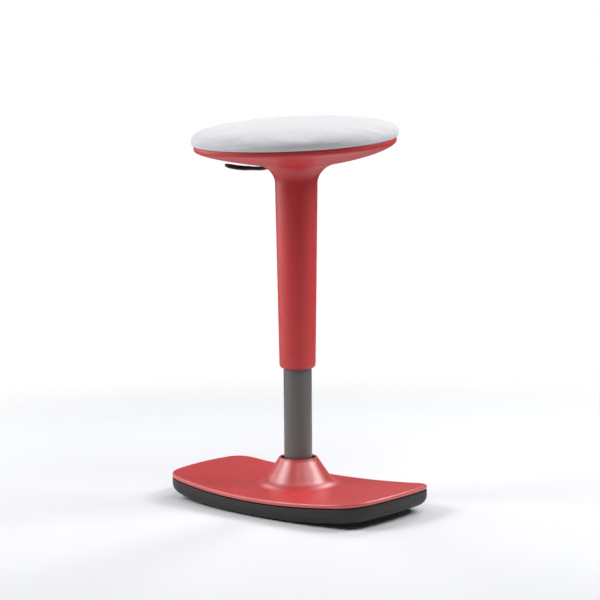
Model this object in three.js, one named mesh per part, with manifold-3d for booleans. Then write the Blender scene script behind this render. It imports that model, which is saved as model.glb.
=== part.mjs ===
import * as THREE from 'three';
import { mergeVertices } from 'three/addons/utils/BufferGeometryUtils.js';
import Module from 'manifold-3d';

// A height-adjustable wobble stool: a round cushioned seat that slopes forward, on a lift column
// that stands in a dished foot with a rubber rocker sole. Millimetres, +Z up. The column's axis is
// the Z axis, the floor is Z = 0, the foot is long across X, and the seat is swivelled a little.

// Clearances
const gap = 0.3;                 // between pieces that touch
const slideGap = 0.8;            // sleeve over the lift tube
const cutOver = 6;               // how far a cut runs past the surface that it opens

// Foot outline in plan, measured from the column's axis
const footFrontHalf = 214;       // to the front corners, along X
const footBackHalf = 221.5;      // to the back corners, along X
const footFront = 115;           // to the front corners, along -Y
const footBack = 97;             // to the back corners, along +Y
const frontBulge = 24;           // how far each edge bows out between its corners
const endBulge = 11.5;
const backBulge = 9;
const frontCorner = 36;          // run of the rounded corner along each edge
const backCorner = 36;
const dishRadius = 1800;         // the foot is bent upwards round this radius, about an axis along Y

// Rubber sole
const soleHeight = 25.5;
const soleEdge = 16;             // rounding of its lower edge
const soleLip = 1.2;             // chamfer of its upper edge
const soleWall = 13;             // width of the rim round the recess for the plate
const soleFlat = 34;             // half width of the flat strip that it rests on
const rockerRadius = 1300;       // curve of the underside beyond that strip

// Steel plate
const plateThick = 8;
const plateInset = 14.5;         // from the foot's outline
const plateBore = 21;            // radius of the hole under the column

// Moulded foot cover with its hollow cone
const shadowGap = 1.5;           // open line between sole and cover
const coverRim = 7;              // height of the rim
const coverWall = 4;
const coverSkirt = 5;            // width of the rim's lower edge
const rimRound = 3.2;
const collarTop = 83;            // height of the cone's mouth
const collarOuter = 33.8;
const collarInner = 30.4;
const collarRound = 0.9;
const coneAngle = 33.4;          // degrees from upright
const coneFillet = 30;           // where the cone runs out into the cover
const bossRadius = 6.5;          // screw bosses under the cover
const bossFloat = 3;             // bosses end this far above the recess of the sole

// Screws of the sole
const soleScrewEnd = 46;         // from the front edge's ends
const soleScrewBackEnd = 53.5;   // from the back edge's ends
const soleScrewFront = 27;       // from the front edge
const soleScrewBack = 25;        // from the back edge
const soleScrewRadius = 2.2;
const soleScrewHead = 5.2;
const soleScrewHeadHeight = 3.2;
const soleScrewSink = 5.5;       // depth of the head's face in the sole

// Column socket
const socketFlange = 52;         // radius
const socketFlangeThick = 4;
const socketTop = 71;
const socketWall = 3.4;
const socketBoltRadius = 3;
const socketBoltCircle = 41;
const socketBoltHead = 5;
const socketBoltHeadHeight = 3.6;

// Lift tube
const tubeRadius = 25;
const tubeWall = 2.5;
const tubeFoot = 33.2;           // height of its lower end
const tubeTop = 350;
const tubeTaper = 42;            // length of the tapered end
const tubeTaperDrop = 1;         // how much the radius falls over that length
const tubeFloor = 3.8;           // thickness of its end washer
const tubeHole = 6;              // radius of the washer's hole
const tubeRound = 0.7;

// Guide bush in the tube's mouth
const bushLength = 80;
const bushRim = 2.7;
const bushRimRadius = 24.4;
const bushGap = 0.35;            // round the cylinder

// Thrust bearing and buffer on the rod
const raceInner = 7;
const raceOuter = 16;
const raceThick = 2;
const ballRadius = 2.1;
const ballCircle = 11.5;
const ballCount = 10;
const cageThick = 1.4;
const cageMargin = 1.6;
const bufferHeight = 11;
const bufferRadius = 19;
const bufferRound = 2.5;

// Piston rod
const rodRadius = 5;
const rodTail = 6.5;             // length below the tube
const rodRound = 0.6;
const rodFlange = 12.5;
const rodFlangeThick = 3;
const rodNeck = 3.2;             // radius under the piston
const rodHead = 5.4;
const rodHeadThick = 3;
const pistonLength = 10;
const pistonGroove = 1.2;
const clipThick = 1.7;
const clipDepth = 1.2;           // groove in the rod
const clipOuter = 9;
const clipMouth = 7;             // width of the clip's open side

// Pressure cylinder
const stroke = 150;              // height adjustment
const cylinderRadius = 14;
const cylinderWall = 1.6;
const cylinderDrop = 55;         // from the seat's plane down to its top
const cylinderTaper = 60;
const cylinderTaperDrop = 1;
const glandThick = 12;
const plugThick = 20;
const buttonRadius = 4.2;
const buttonRise = 6;            // above the cylinder
const buttonTravel = 3.2;        // free depth under it
const buttonSunk = 10.5;         // length inside the cylinder

// Seat: the plane of the seam between cushion and shell
const swivelAngle = 24.1;        // degrees that the seat is turned about the column
const seatHeight = 643;          // where that plane crosses the column's axis
const seatSlope = 9.48;          // degrees down towards the front
const seatHalfWidth = 176.9;
const seatHalfDepth = 163.1;
const seatForward = 7.8;         // the seat's middle lies this far in front of the column
const seatSquareness = 2.1;      // 2 is an oval, more is squarer
const shellLip = 7.7;            // upright band under the seam
const shellDepth = 43;           // from that band to the bottom of the dish
const shellInnerPower = 1.546;   // powers that shape the dish
const shellOuterPower = 0.668;
const shellBackShare = 0.449;    // how much deeper the dish is towards the back
const shellWall = 4;
const ledgeDepth = 10.3;         // ledge that carries the board, below the seam
const ledgeWidth = 6;

// Sleeve below the dish
const sleeveTopRadius = 37.3;
const sleeveFootRadius = 31.9;
const sleeveLength = 401.5;      // from the seat's plane to its lower end
const sleeveRound = 7.5;         // height of the turned-in lower edge
const filletStart = 67;          // where the dish leaves for the sleeve
const filletRun = 28;            // length of the fillet along the sleeve

// Hub
const hubGrip = 65;              // length of the tapered bore
const hubFootRadius = 19.5;
const hubWaistRadius = 20.5;
const cupSunk = 2;               // the cup's floor lies this far below the cylinder's top
const cupInner = 25;
const cupOuter = 30;
const cupFlare = 11;
const hubPlateHalf = 60;
const hubPlateThick = 5;
const hubPlateDrop = 30.5;       // its lower face, below the seam plane
const hubPlateCorner = 14;
const hubScrewAt = 46;
const hubScrewRadius = 2;
const hubScrewBite = 6.5;
const hubScrewHead = 4.6;
const hubScrewHeadHeight = 2.6;
const hubBossRadius = 7.5;

// Release lever, pointing to the sitter's right
const pivotX = 27;
const pinRadius = 2.5;
const pinHalf = 17;
const armWidth = 13;
const armHeight = 6;
const noseRadius = 3.6;
const armEnd = 74;               // where the arm has run into the paddle
const paddleEnd = 131;
const paddleWidth = 35;
const paddleThick = 4.6;
const paddleSag = 3.1;           // how far its middle hangs below the pivot
const paddleTipRise = 6.2;
const paddlePlay = 2.5;          // between it and the edge of the opening above its root
const paddlePocket = 106;        // how far that opening reaches from the column
const paddleRound = 1.6;
const armSlotSide = 3;           // play beside the arm in hub and shell
const armSlotHeight = 22;
const shellSlotInner = 33;
const shellSlotHeight = 31;

// Board, clips and cushion
const boardThick = 9;
const boardTop = 1;              // below the seam plane
const boardInset = 5.5;
const boardChamfer = 1.5;
const postInset = 90;            // from the shell's edge, along X and along Y
const postRadius = 7;
const clipStud = 3.6;
const clipStudLength = 9.5;
const clipFlange = 8.8;
const clipFlangeThick = 2.2;
const cushionGap = 0.35;         // over the shell's rim
const cushionBulge = 1.7;        // beyond the shell
const cushionWaist = 13.7;       // height of the widest line
const cushionCrown = 26.1;       // dome above that line
const crownInnerPower = 1.3;
const crownOuterPower = 0.483;
const crownBackShare = -0.15;    // below 0 the dome falls off towards the back
const cushionUnder = 7;          // width of the edge that lies over the shell's rim

const deg = Math.PI / 180;
const cylinderTop = seatHeight - cylinderDrop;
const hubFoot = cylinderTop - hubGrip;
const cupFloor = cylinderTop - cupSunk;
const sleeveFoot = seatHeight - sleeveLength;

// Points along a line of shares from 0 to 1
const steps = (count) => Array.from({ length: count + 1 }, (_, i) => i / count);

// closed bodies from rings of points

// Joins rings of equal length one after another. A ring of one point is a pole. With no poles the
// last ring joins the first, so the body is a ring round the column.
function loft(rings) {
  const positions = [];
  const starts = rings.map((ring) => {
    const start = positions.length / 3;
    ring.forEach((p) => positions.push(p.x, p.y, p.z));
    return start;
  });
  const index = [];
  const last = rings[0].length === 1 ? rings.length - 1 : rings.length;
  for (let j = 0; j < last; j++) {
    const k = (j + 1) % rings.length;
    const a = rings[j].length, b = rings[k].length, n = Math.max(a, b);
    for (let i = 0; i < n; i++) {
      const i2 = (i + 1) % n;
      if (a > 1) index.push(starts[j] + i, starts[j] + i2, starts[k] + (b > 1 ? i2 : 0));
      if (b > 1) index.push(starts[j] + (a > 1 ? i : 0), starts[k] + i2, starts[k] + i);
    }
  }
  const geometry = new THREE.BufferGeometry();
  geometry.setAttribute('position', new THREE.Float32BufferAttribute(positions, 3));
  geometry.setIndex(index);
  return facingOut(geometry);
}

// Turns a body's faces outwards, going by the sign of its volume
function facingOut(geometry) {
  const p = geometry.attributes.position, index = geometry.index.array;
  const a = new THREE.Vector3(), b = new THREE.Vector3(), c = new THREE.Vector3();
  let volume = 0;
  for (let t = 0; t < index.length; t += 3) {
    a.fromBufferAttribute(p, index[t]);
    b.fromBufferAttribute(p, index[t + 1]);
    c.fromBufferAttribute(p, index[t + 2]);
    volume += a.dot(b.cross(c));
  }
  if (volume < 0) {
    for (let t = 0; t < index.length; t += 3) {
      [index[t + 1], index[t + 2]] = [index[t + 2], index[t + 1]];
    }
  }
  geometry.computeVertexNormals();
  return geometry;
}

// A turned body from a closed or axis-to-axis outline of [radius, height] pairs
function turned(outline, sides) {
  const points = outline.map(([r, z]) => new THREE.Vector2(r, z));
  if (outline[0][0] > 0) points.push(points[0].clone());
  const geometry = new THREE.LatheGeometry(points, sides);
  geometry.rotateX(Math.PI / 2);
  return welded(geometry);
}

const weldShare = 0.001;
function welded(geometry) {
  geometry.deleteAttribute('normal');
  geometry.deleteAttribute('uv');
  const merged = mergeVertices(geometry, gap * weldShare);
  const index = Array.from(merged.index.array), kept = [];
  for (let t = 0; t < index.length; t += 3) {
    const [a, b, c] = index.slice(t, t + 3);
    if (a !== b && b !== c && c !== a) kept.push(a, b, c);
  }
  merged.setIndex(kept);
  return facingOut(merged);
}

// booleans

const wasm = await Module();
wasm.setup();

function solid(geometry) {
  const merged = welded(geometry.clone());
  return new wasm.Manifold(new wasm.Mesh({
    numProp: 3,
    vertProperties: new Float32Array(merged.attributes.position.array),
    triVerts: new Uint32Array(merged.index.array),
  }));
}

function surface(manifold) {
  const mesh = manifold.getMesh();
  const geometry = new THREE.BufferGeometry();
  geometry.setAttribute('position', new THREE.Float32BufferAttribute(mesh.vertProperties, 3));
  geometry.setIndex(Array.from(mesh.triVerts));
  geometry.computeVertexNormals();
  return geometry;
}

const joined = (...parts) => surface(parts.map(solid).reduce((a, b) => a.add(b)));
const cut = (body, ...tools) => surface(tools.map(solid).reduce((a, b) => a.subtract(b), solid(body)));

// Upright cylinder from one height to another
function post(radius, low, high, x, y, sides) {
  const geometry = new THREE.CylinderGeometry(radius, radius, high - low, sides);
  geometry.rotateX(Math.PI / 2);
  geometry.translate(x, y, (low + high) / 2);
  return geometry;
}

function block(x0, x1, y0, y1, z0, z1) {
  const geometry = new THREE.BoxGeometry(x1 - x0, y1 - y0, z1 - z0);
  geometry.translate((x0 + x1) / 2, (y0 + y1) / 2, (z0 + z1) / 2);
  return geometry;
}

// the assembly

const stool = new THREE.Group();
const turnedSeat = new THREE.Group();          // everything that swivels with the seat
turnedSeat.rotation.z = swivelAngle * deg;
const seatPlane = new THREE.Group();           // the sloping plane of the seam
seatPlane.position.z = seatHeight;
seatPlane.rotation.x = seatSlope * deg;
turnedSeat.add(seatPlane);
stool.add(turnedSeat);
const slope = new THREE.Matrix4().makeRotationX(seatSlope * deg).setPosition(0, 0, seatHeight);

const looks = {
  redPlastic: { color: 0xc23c42, roughness: 0.42, metalness: 0 },
  rubber: { color: 0x3a3a38, roughness: 0.75, metalness: 0 },
  greyPaint: { color: 0x6d6d6b, roughness: 0.45, metalness: 0.3 },
  steel: { color: 0x9a9c9e, roughness: 0.35, metalness: 0.9 },
  blackSteel: { color: 0x2c2d2f, roughness: 0.5, metalness: 0.5 },
  chrome: { color: 0xc8cacc, roughness: 0.15, metalness: 1 },
  castMetal: { color: 0xa5a7a8, roughness: 0.5, metalness: 0.8 },
  blackPlastic: { color: 0x35282a, roughness: 0.5, metalness: 0 },
  whitePlastic: { color: 0xe4e2da, roughness: 0.5, metalness: 0 },
  plywood: { color: 0xb98f5f, roughness: 0.7, metalness: 0 },
  fabric: { color: 0xe9e9ee, roughness: 0.9, metalness: 0 },
};

function place(name, geometry, look, parent = stool) {
  const mesh = new THREE.Mesh(geometry, new THREE.MeshStandardMaterial(looks[look]));
  mesh.name = name;
  parent.add(mesh);
  return mesh;
}

// foot

const dish = (x) => dishRadius - Math.sqrt(dishRadius ** 2 - x ** 2);
const rocker = (x) => {
  const run = Math.max(Math.abs(x) - soleFlat, 0);
  return rockerRadius - Math.sqrt(rockerRadius ** 2 - run ** 2);
};

// Plan of the foot: four bowed edges with rounded corners, as points and outward directions
const edgeSteps = [12, 6, 12, 6];
const cornerSteps = 4;
function footOutline() {
  const corners = [
    [-footFrontHalf, -footFront], [footFrontHalf, -footFront],
    [footBackHalf, footBack], [-footBackHalf, footBack],
  ].map(([x, y]) => new THREE.Vector2(x, y));
  const bulges = [frontBulge, endBulge, backBulge, endBulge];
  const runs = [frontCorner, frontCorner, backCorner, backCorner];
  const edges = corners.map((from, k) => {
    const to = corners[(k + 1) % 4], along = to.clone().sub(from), length = along.length();
    const out = new THREE.Vector2(along.y, -along.x).normalize();
    const control = from.clone().add(to).multiplyScalar(0.5).addScaledVector(out, 2 * bulges[k]);
    const curve = new THREE.QuadraticBezierCurve(from, control, to);
    return { curve, start: runs[k] / length, end: 1 - runs[(k + 1) % 4] / length };
  });
  const points = [];
  edges.forEach(({ curve, start, end }, k) => {
    steps(edgeSteps[k]).forEach((s) => points.push(curve.getPoint(start + (end - start) * s)));
    const next = edges[(k + 1) % 4];
    const a = curve.getPoint(end), b = next.curve.getPoint(next.start);
    const u = curve.getTangent(end), v = next.curve.getTangent(next.start);
    const reach = b.clone().sub(a).cross(v) / u.cross(v);
    const bend = new THREE.QuadraticBezierCurve(a, a.clone().addScaledVector(u, reach), b);
    steps(cornerSteps).slice(1, -1).forEach((s) => points.push(bend.getPoint(s)));
  });
  return points;
}
const rim = footOutline();
const rimOut = rim.map((p, i) => {
  const before = rim[(i + rim.length - 1) % rim.length], after = rim[(i + 1) % rim.length];
  return new THREE.Vector2(after.y - before.y, before.x - after.x).normalize();
});
const insetRim = (inset) => rim.map((p, i) => p.clone().addScaledVector(rimOut[i], -inset));

// Rings over that plan. height takes the place along X.
const rimRing = (inset, height) => insetRim(inset).map((p) => new THREE.Vector3(p.x, p.y, height(p.x)));
const sharedRing = (inset, share, height) => insetRim(inset).map((p) => {
  const q = p.clone().multiplyScalar(share);
  return new THREE.Vector3(q.x, q.y, height(q.x));
});
// Rings round the column, with a point towards each point of the rim
const roundRing = (radius, height) => rim.map((p) => {
  const q = p.clone().setLength(radius);
  return new THREE.Vector3(q.x, q.y, height(q.x));
});
const between = (ringA, ringB, share) => ringA.map((p, i) => p.clone().lerp(ringB[i], share));

const coverRimLow = soleHeight + shadowGap;
const coverTop = coverRimLow + coverRim;
const coverUnder = coverTop - coverWall;
const plateTop = coverUnder - gap;
const plateUnder = plateTop - plateThick;
const recess = plateUnder - gap;
const onDish = (z) => (x) => z + dish(x);
const onRocker = (z) => (x) => z + rocker(x);
const flatAt = (z) => () => z;

// The cone leans by coneAngle and meets the cover through a fillet that ends at coneFoot
const coneLean = coneAngle * deg;
const coneRun = coneFillet * Math.tan((Math.PI / 2 - coneLean) / 2);
const coneMeet = collarOuter + (collarTop - coverTop) * Math.tan(coneLean);
const coneFoot = coneMeet + coneRun;

// Rows that sole, plate and cover share between the cone's foot and the plate's edge, so that
// their bent faces lie parallel
const fieldShares = [0.5];
const field = (z) => [
  roundRing(coneFoot, onDish(z)),
  ...fieldShares.map((share) => between(roundRing(coneFoot, onDish(z)), rimRing(plateInset, onDish(z)), share)
    .map((p) => p.setZ(z + dish(p.x)))),
  rimRing(plateInset, onDish(z)),
];
const middle = (z) => [roundRing(plateBore, onDish(z)), roundRing(socketFlange, onDish(z))];

// Places of the screws that come up through the sole
const soleScrews = [-1, 0, 1].flatMap((side) => [
  { x: side * (footFrontHalf - soleScrewEnd), y: -footFront + soleScrewFront },
  { x: side * (footBackHalf - soleScrewBackEnd), y: footBack - soleScrewBack }]);

// Sole: flat in the middle, rising to both ends, with a recess for the plate on top
const pole = (z) => [new THREE.Vector3(0, 0, z)];
const innerShares = [0.55];
const edgeShares = [0.3, 0.62, 1];
const soleBody = loft([
  pole(0),
  roundRing(soleFlat, flatAt(0)),
  ...innerShares.map((share) => sharedRing(soleEdge, share, onRocker(0))),
  rimRing(soleEdge, onRocker(0)),
  ...edgeShares.map((share) => rimRing(soleEdge * (1 - Math.sin(share * Math.PI / 2)),
    onRocker(soleEdge * (1 - Math.cos(share * Math.PI / 2))))),
  rimRing(0, onDish(soleHeight - soleLip)),
  rimRing(soleLip, onDish(soleHeight)),
  rimRing(soleWall, onDish(soleHeight)),
  rimRing(soleWall, onDish(recess)),
  ...field(recess).reverse(),
  ...middle(recess).reverse(),
  pole(recess),
]);
const screwSides = 8;
const soleCuts = soleScrews.flatMap(({ x, y }) => [
  post(soleScrewRadius + gap, -cutOver, coverTop + cutOver, x, y, screwSides),
  post(soleScrewHead + gap, rocker(x) - cutOver, rocker(x) + soleScrewSink + gap, x, y, screwSides),
]);
place('rocker_sole', cut(soleBody, ...soleCuts), 'rubber');

// Plate
const plateBody = loft([
  ...middle(plateTop), ...field(plateTop),
  ...field(plateUnder).reverse(), ...middle(plateUnder).reverse(),
]);
const socketBolts = [0, 1, 2, 3].map((i) => {
  const angle = (i + 0.5) * Math.PI / 2;
  return { x: socketBoltCircle * Math.cos(angle), y: socketBoltCircle * Math.sin(angle) };
});
place('ballast_plate', cut(plateBody,
  ...soleScrews.map(({ x, y }) => post(bossRadius + gap, plateUnder - cutOver,
    plateTop + dish(x) + cutOver, x, y, screwSides)),
  ...socketBolts.map(({ x, y }) => post(socketBoltRadius + gap, plateUnder - cutOver,
    plateTop + cutOver, x, y, screwSides))), 'blackSteel');

// Cover: outer skin from the collar out to the rim, and the inner skin back
const filletShares = [0, 0.33, 0.67, 1];
const innerFilletShares = [0, 0.5, 1];
const coneFilletRing = (radius, share) => {
  const angle = coneLean + (Math.PI / 2 - coneLean) * share;
  return [coneFoot - radius * Math.cos(angle), coverTop + coneFillet - radius * Math.sin(angle)];
};
const innerFillet = coneFillet + coverWall;
const [coneInnerR, coneInnerZ] = coneFilletRing(innerFillet, 0);
const collarInnerLow = coneInnerZ + (coneInnerR - collarInner) / Math.tan(coneLean);
// the fillet sinks into the dish as it reaches the cover
const sinking = (z, share) => (x) => z + dish(x) * share;
const roundShares = [0.5, 1];
const coverBody = loft([
  roundRing(collarInner, flatAt(collarTop - collarRound)),
  roundRing(collarInner + collarRound, flatAt(collarTop)),
  roundRing(collarOuter - collarRound, flatAt(collarTop)),
  roundRing(collarOuter + collarRound * Math.sin(coneLean), flatAt(collarTop - collarRound)),
  ...filletShares.map((share) => {
    const [r, z] = coneFilletRing(coneFillet, share);
    return roundRing(r, sinking(z, share));
  }),
  ...field(coverTop).slice(1),
  rimRing(rimRound, onDish(coverTop)),
  ...roundShares.map((share) => rimRing(rimRound * (1 - Math.sin(share * Math.PI / 2)),
    onDish(coverTop - rimRound * (1 - Math.cos(share * Math.PI / 2))))),
  rimRing(0, onDish(coverRimLow + rimRound / 2)),
  rimRing(rimRound / 2, onDish(coverRimLow)),
  rimRing(coverSkirt, onDish(coverRimLow)),
  rimRing(coverSkirt, onDish(coverUnder)),
  ...field(coverUnder).slice(1).reverse(),
  ...[...innerFilletShares].reverse().map((share) => {
    const [r, z] = coneFilletRing(innerFillet, share);
    return roundRing(r, sinking(z, share));
  }),
  roundRing(collarInner, flatAt(collarInnerLow)),
]);
const bossFoot = recess + bossFloat;
const coverBosses = soleScrews.map(({ x, y }) =>
  post(bossRadius, bossFoot + dish(x), coverUnder + dish(x) + coverWall / 2, x, y, screwSides));
const bossHoles = soleScrews.map(({ x, y }) => post(soleScrewRadius + gap, bossFoot + dish(x) - cutOver,
  coverUnder + dish(x) + gap, x, y, screwSides));
place('foot_cover', cut(joined(coverBody, ...coverBosses), ...bossHoles), 'redPlastic');

soleScrews.forEach(({ x, y }, i) => {
  const seat = rocker(x) + soleScrewSink;
  const tip = coverUnder + dish(x) - gap;
  place(`sole_screw_${i + 1}`, joined(
    post(soleScrewHead, seat - soleScrewHeadHeight, seat, x, y, screwSides),
    post(soleScrewRadius, seat - soleScrewHeadHeight / 2, tip, x, y, screwSides)), 'steel');
});

// Socket: a flange bent to the plate, and the tapered bore for the tube
const socketRadiusAt = (z) => tubeRadius - tubeTaperDrop * Math.max(0, 1 - (z - tubeFoot) / tubeTaper);
const flangeLow = plateTop + gap;
const flangeHigh = flangeLow + socketFlangeThick;
const socketBody = loft([
  roundRing(socketRadiusAt(tubeFoot) + gap, onDish(flangeLow)),
  roundRing(socketFlange, onDish(flangeLow)),
  roundRing(socketFlange, onDish(flangeHigh)),
  roundRing(socketRadiusAt(socketTop) + gap + 2 * socketWall, onDish(flangeHigh)),
  roundRing(socketRadiusAt(socketTop) + gap + socketWall, flatAt(flangeHigh + socketWall)),
  roundRing(socketRadiusAt(socketTop) + gap + socketWall, flatAt(socketTop)),
  roundRing(socketRadiusAt(socketTop) + gap, flatAt(socketTop)),
]);
place('column_socket', cut(socketBody, ...socketBolts.map(({ x, y }) =>
  post(socketBoltRadius + gap, flangeLow - cutOver, flangeHigh + cutOver, x, y, screwSides))), 'blackSteel');
socketBolts.forEach(({ x, y }, i) => {
  const seat = flangeHigh + dish(x) + gap;
  place(`socket_bolt_${i + 1}`, joined(
    post(socketBoltHead, seat, seat + socketBoltHeadHeight, x, y, 6),
    post(socketBoltRadius, plateUnder + gap, seat + socketBoltHeadHeight / 2, x, y, screwSides)), 'steel');
});

// column

const tubeBore = tubeRadius - tubeWall;
const roundSides = 36;
place('lift_tube', turned([
  [tubeHole, tubeFoot],
  [tubeRadius - tubeTaperDrop, tubeFoot],
  [tubeRadius, tubeFoot + tubeTaper],
  [tubeRadius, tubeTop - tubeRound],
  [tubeRadius - tubeRound, tubeTop],
  [tubeBore, tubeTop],
  [tubeBore, tubeFoot + tubeFloor],
  [tubeHole, tubeFoot + tubeFloor],
], roundSides), 'greyPaint');

place('guide_bush', turned([
  [tubeBore - gap, tubeTop - bushLength],
  [tubeBore - gap, tubeTop + gap],
  [bushRimRadius, tubeTop + gap],
  [bushRimRadius, tubeTop + gap + bushRim],
  [cylinderRadius + bushGap, tubeTop + gap + bushRim],
  [cylinderRadius + bushGap, tubeTop - bushLength],
], roundSides), 'blackPlastic');

// Thrust bearing: lower race on the tube's washer, balls in their cage, upper race under the rod's flange
const raceLow = tubeFoot + tubeFloor + gap;
const cageLow = raceLow + raceThick + gap;
const raceHigh = cageLow + 2 * ballRadius + gap;
const flangeAt = raceHigh + raceThick + gap;
const race = (z) => turned([
  [raceInner, z], [raceOuter, z], [raceOuter, z + raceThick], [raceInner, z + raceThick]], 20);
place('bearing_race_lower', race(raceLow), 'steel');
place('bearing_race_upper', race(raceHigh), 'steel', turnedSeat);
const cageMid = cageLow + ballRadius;
const balls = Array.from({ length: ballCount }, (_, i) => {
  const angle = 2 * Math.PI * i / ballCount;
  const ball = new THREE.SphereGeometry(ballRadius, 6, 4);
  ball.rotateX(Math.PI / 2);
  ball.translate(ballCircle * Math.cos(angle), ballCircle * Math.sin(angle), cageMid);
  return ball;
});
place('bearing_balls', joined(turned([
  [ballCircle - ballRadius - cageMargin, cageMid - cageThick / 2],
  [ballCircle + ballRadius + cageMargin, cageMid - cageThick / 2],
  [ballCircle + ballRadius + cageMargin, cageMid + cageThick / 2],
  [ballCircle - ballRadius - cageMargin, cageMid + cageThick / 2]], 20), ...balls), 'chrome', turnedSeat);

// Buffer on the rod's flange, and the cylinder that comes down to it
const bufferLow = flangeAt + rodFlangeThick + gap;
const bufferTop = bufferLow + bufferHeight;
place('buffer_ring', turned([
  [rodRadius + gap, bufferLow],
  [bufferRadius, bufferLow],
  [bufferRadius, bufferTop - bufferRound],
  [bufferRadius - bufferRound, bufferTop],
  [rodRadius + gap, bufferTop],
], 28), 'rubber', turnedSeat);

const cylinderFoot = bufferTop + stroke + 2 * gap;
const glandTop = cylinderFoot + glandThick;
const pistonLow = glandTop + 2 * gap;
const pistonHigh = pistonLow + pistonLength;
const clipLow = tubeFoot - gap - clipThick;
place('piston_rod', turned([
  [0, tubeFoot - rodTail],
  [rodRadius - rodRound, tubeFoot - rodTail],
  [rodRadius, tubeFoot - rodTail + rodRound],
  [rodRadius, clipLow - gap],
  [rodRadius - clipDepth, clipLow - gap],
  [rodRadius - clipDepth, clipLow + clipThick + gap],
  [rodRadius, clipLow + clipThick + gap],
  [rodRadius, flangeAt],
  [rodFlange, flangeAt],
  [rodFlange, flangeAt + rodFlangeThick],
  [rodRadius, flangeAt + rodFlangeThick],
  [rodRadius, pistonLow - gap],
  [rodNeck, pistonLow - gap],
  [rodNeck, pistonHigh + gap],
  [rodHead, pistonHigh + gap],
  [rodHead, pistonHigh + gap + rodHeadThick],
  [0, pistonHigh + gap + rodHeadThick],
], 16), 'chrome', turnedSeat);

const cylinderBore = cylinderRadius - cylinderWall;
place('piston', turned([
  [rodNeck + gap, pistonLow],
  [cylinderBore - gap, pistonLow],
  [cylinderBore - gap, pistonLow + pistonLength / 3],
  [cylinderBore - gap - pistonGroove, pistonLow + pistonLength / 3],
  [cylinderBore - gap - pistonGroove, pistonHigh - pistonLength / 3],
  [cylinderBore - gap, pistonHigh - pistonLength / 3],
  [cylinderBore - gap, pistonHigh],
  [rodNeck + gap, pistonHigh],
], 24), 'whitePlastic', turnedSeat);

// Open clip in the rod's groove
const clip = new THREE.Shape();
const mouth = Math.asin(clipMouth / 2 / clipOuter);
clip.absarc(0, 0, clipOuter, mouth, 2 * Math.PI - mouth, false);
const mouthShare = 0.9;          // the clip's ends are this much closer inside
const innerMouth = Math.asin(clipMouth / 2 / (rodRadius - clipDepth + gap) * mouthShare);
clip.absarc(0, 0, rodRadius - clipDepth + gap, 2 * Math.PI - innerMouth, innerMouth, true);
clip.closePath();
const clipGeometry = new THREE.ExtrudeGeometry(clip, { depth: clipThick, bevelEnabled: false, curveSegments: 9 });
clipGeometry.translate(0, 0, clipLow);
place('rod_clip', welded(clipGeometry), 'steel', turnedSeat);

// Cylinder, open at the gland below, with the button's bore above
const cylinderAt = (z) => cylinderRadius
  - cylinderTaperDrop * Math.max(0, 1 - (cylinderTop - z) / cylinderTaper);
const buttonLow = cylinderTop - buttonSunk;
place('pressure_cylinder', turned([
  [0, cylinderTop - plugThick],
  [cylinderBore - cylinderTaperDrop, cylinderTop - plugThick],
  [cylinderBore, cylinderTop - plugThick - cylinderTaperDrop],
  [cylinderBore, glandTop],
  [rodRadius + gap, glandTop],
  [rodRadius + gap, cylinderFoot],
  [cylinderRadius - rodRound, cylinderFoot],
  [cylinderRadius, cylinderFoot + rodRound],
  [cylinderRadius, cylinderTop - cylinderTaper],
  [cylinderAt(cylinderTop), cylinderTop],
  [buttonRadius + gap, cylinderTop],
  [buttonRadius + gap, buttonLow - buttonTravel],
  [0, buttonLow - buttonTravel],
], 28), 'chrome', turnedSeat);

place('release_button', turned([
  [0, buttonLow],
  [buttonRadius, buttonLow],
  [buttonRadius, cylinderTop + buttonRise - rodRound],
  [buttonRadius - rodRound, cylinderTop + buttonRise],
  [0, cylinderTop + buttonRise],
], 16), 'whitePlastic', turnedSeat);

// hub

const pivotZ = cylinderTop + buttonRise + gap + noseRadius;
const paddleStart = armEnd - armHeight;
const sloping = (geometry) => geometry.applyMatrix4(slope);
function roundedPlate(half, corner, thick) {
  const shape = new THREE.Shape();
  shape.moveTo(-half + corner, -half);
  [[half - corner, -half + corner, -90], [half - corner, half - corner, 0],
    [-half + corner, half - corner, 90], [-half + corner, -half + corner, 180]]
    .forEach(([x, y, start]) => shape.absarc(x, y, corner, start * deg, (start + 90) * deg, false));
  return new THREE.ExtrudeGeometry(shape, { depth: thick, bevelEnabled: false, curveSegments: 5 });
}
const hubScrews = [[-1, -1], [1, -1], [1, 1], [-1, 1]].map(([i, j]) => ({ x: i * hubScrewAt, y: j * hubScrewAt }));
const hubPlate = roundedPlate(hubPlateHalf, hubPlateCorner, hubPlateThick);
hubPlate.translate(0, 0, -hubPlateDrop);
const hubBlank = cut(turned([
  [0, hubFoot],
  [hubFootRadius, hubFoot],
  [hubWaistRadius, cupFloor - cupFlare],
  [cupOuter, cupFloor],
  [cupOuter, seatHeight],
  [0, seatHeight],
], roundSides), sloping(block(-hubPlateHalf, hubPlateHalf, -hubPlateHalf, hubPlateHalf,
  -hubPlateDrop + hubPlateThick / 2, hubPlateHalf)));
const slotLow = pivotZ - armHeight - paddleSag;
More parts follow.
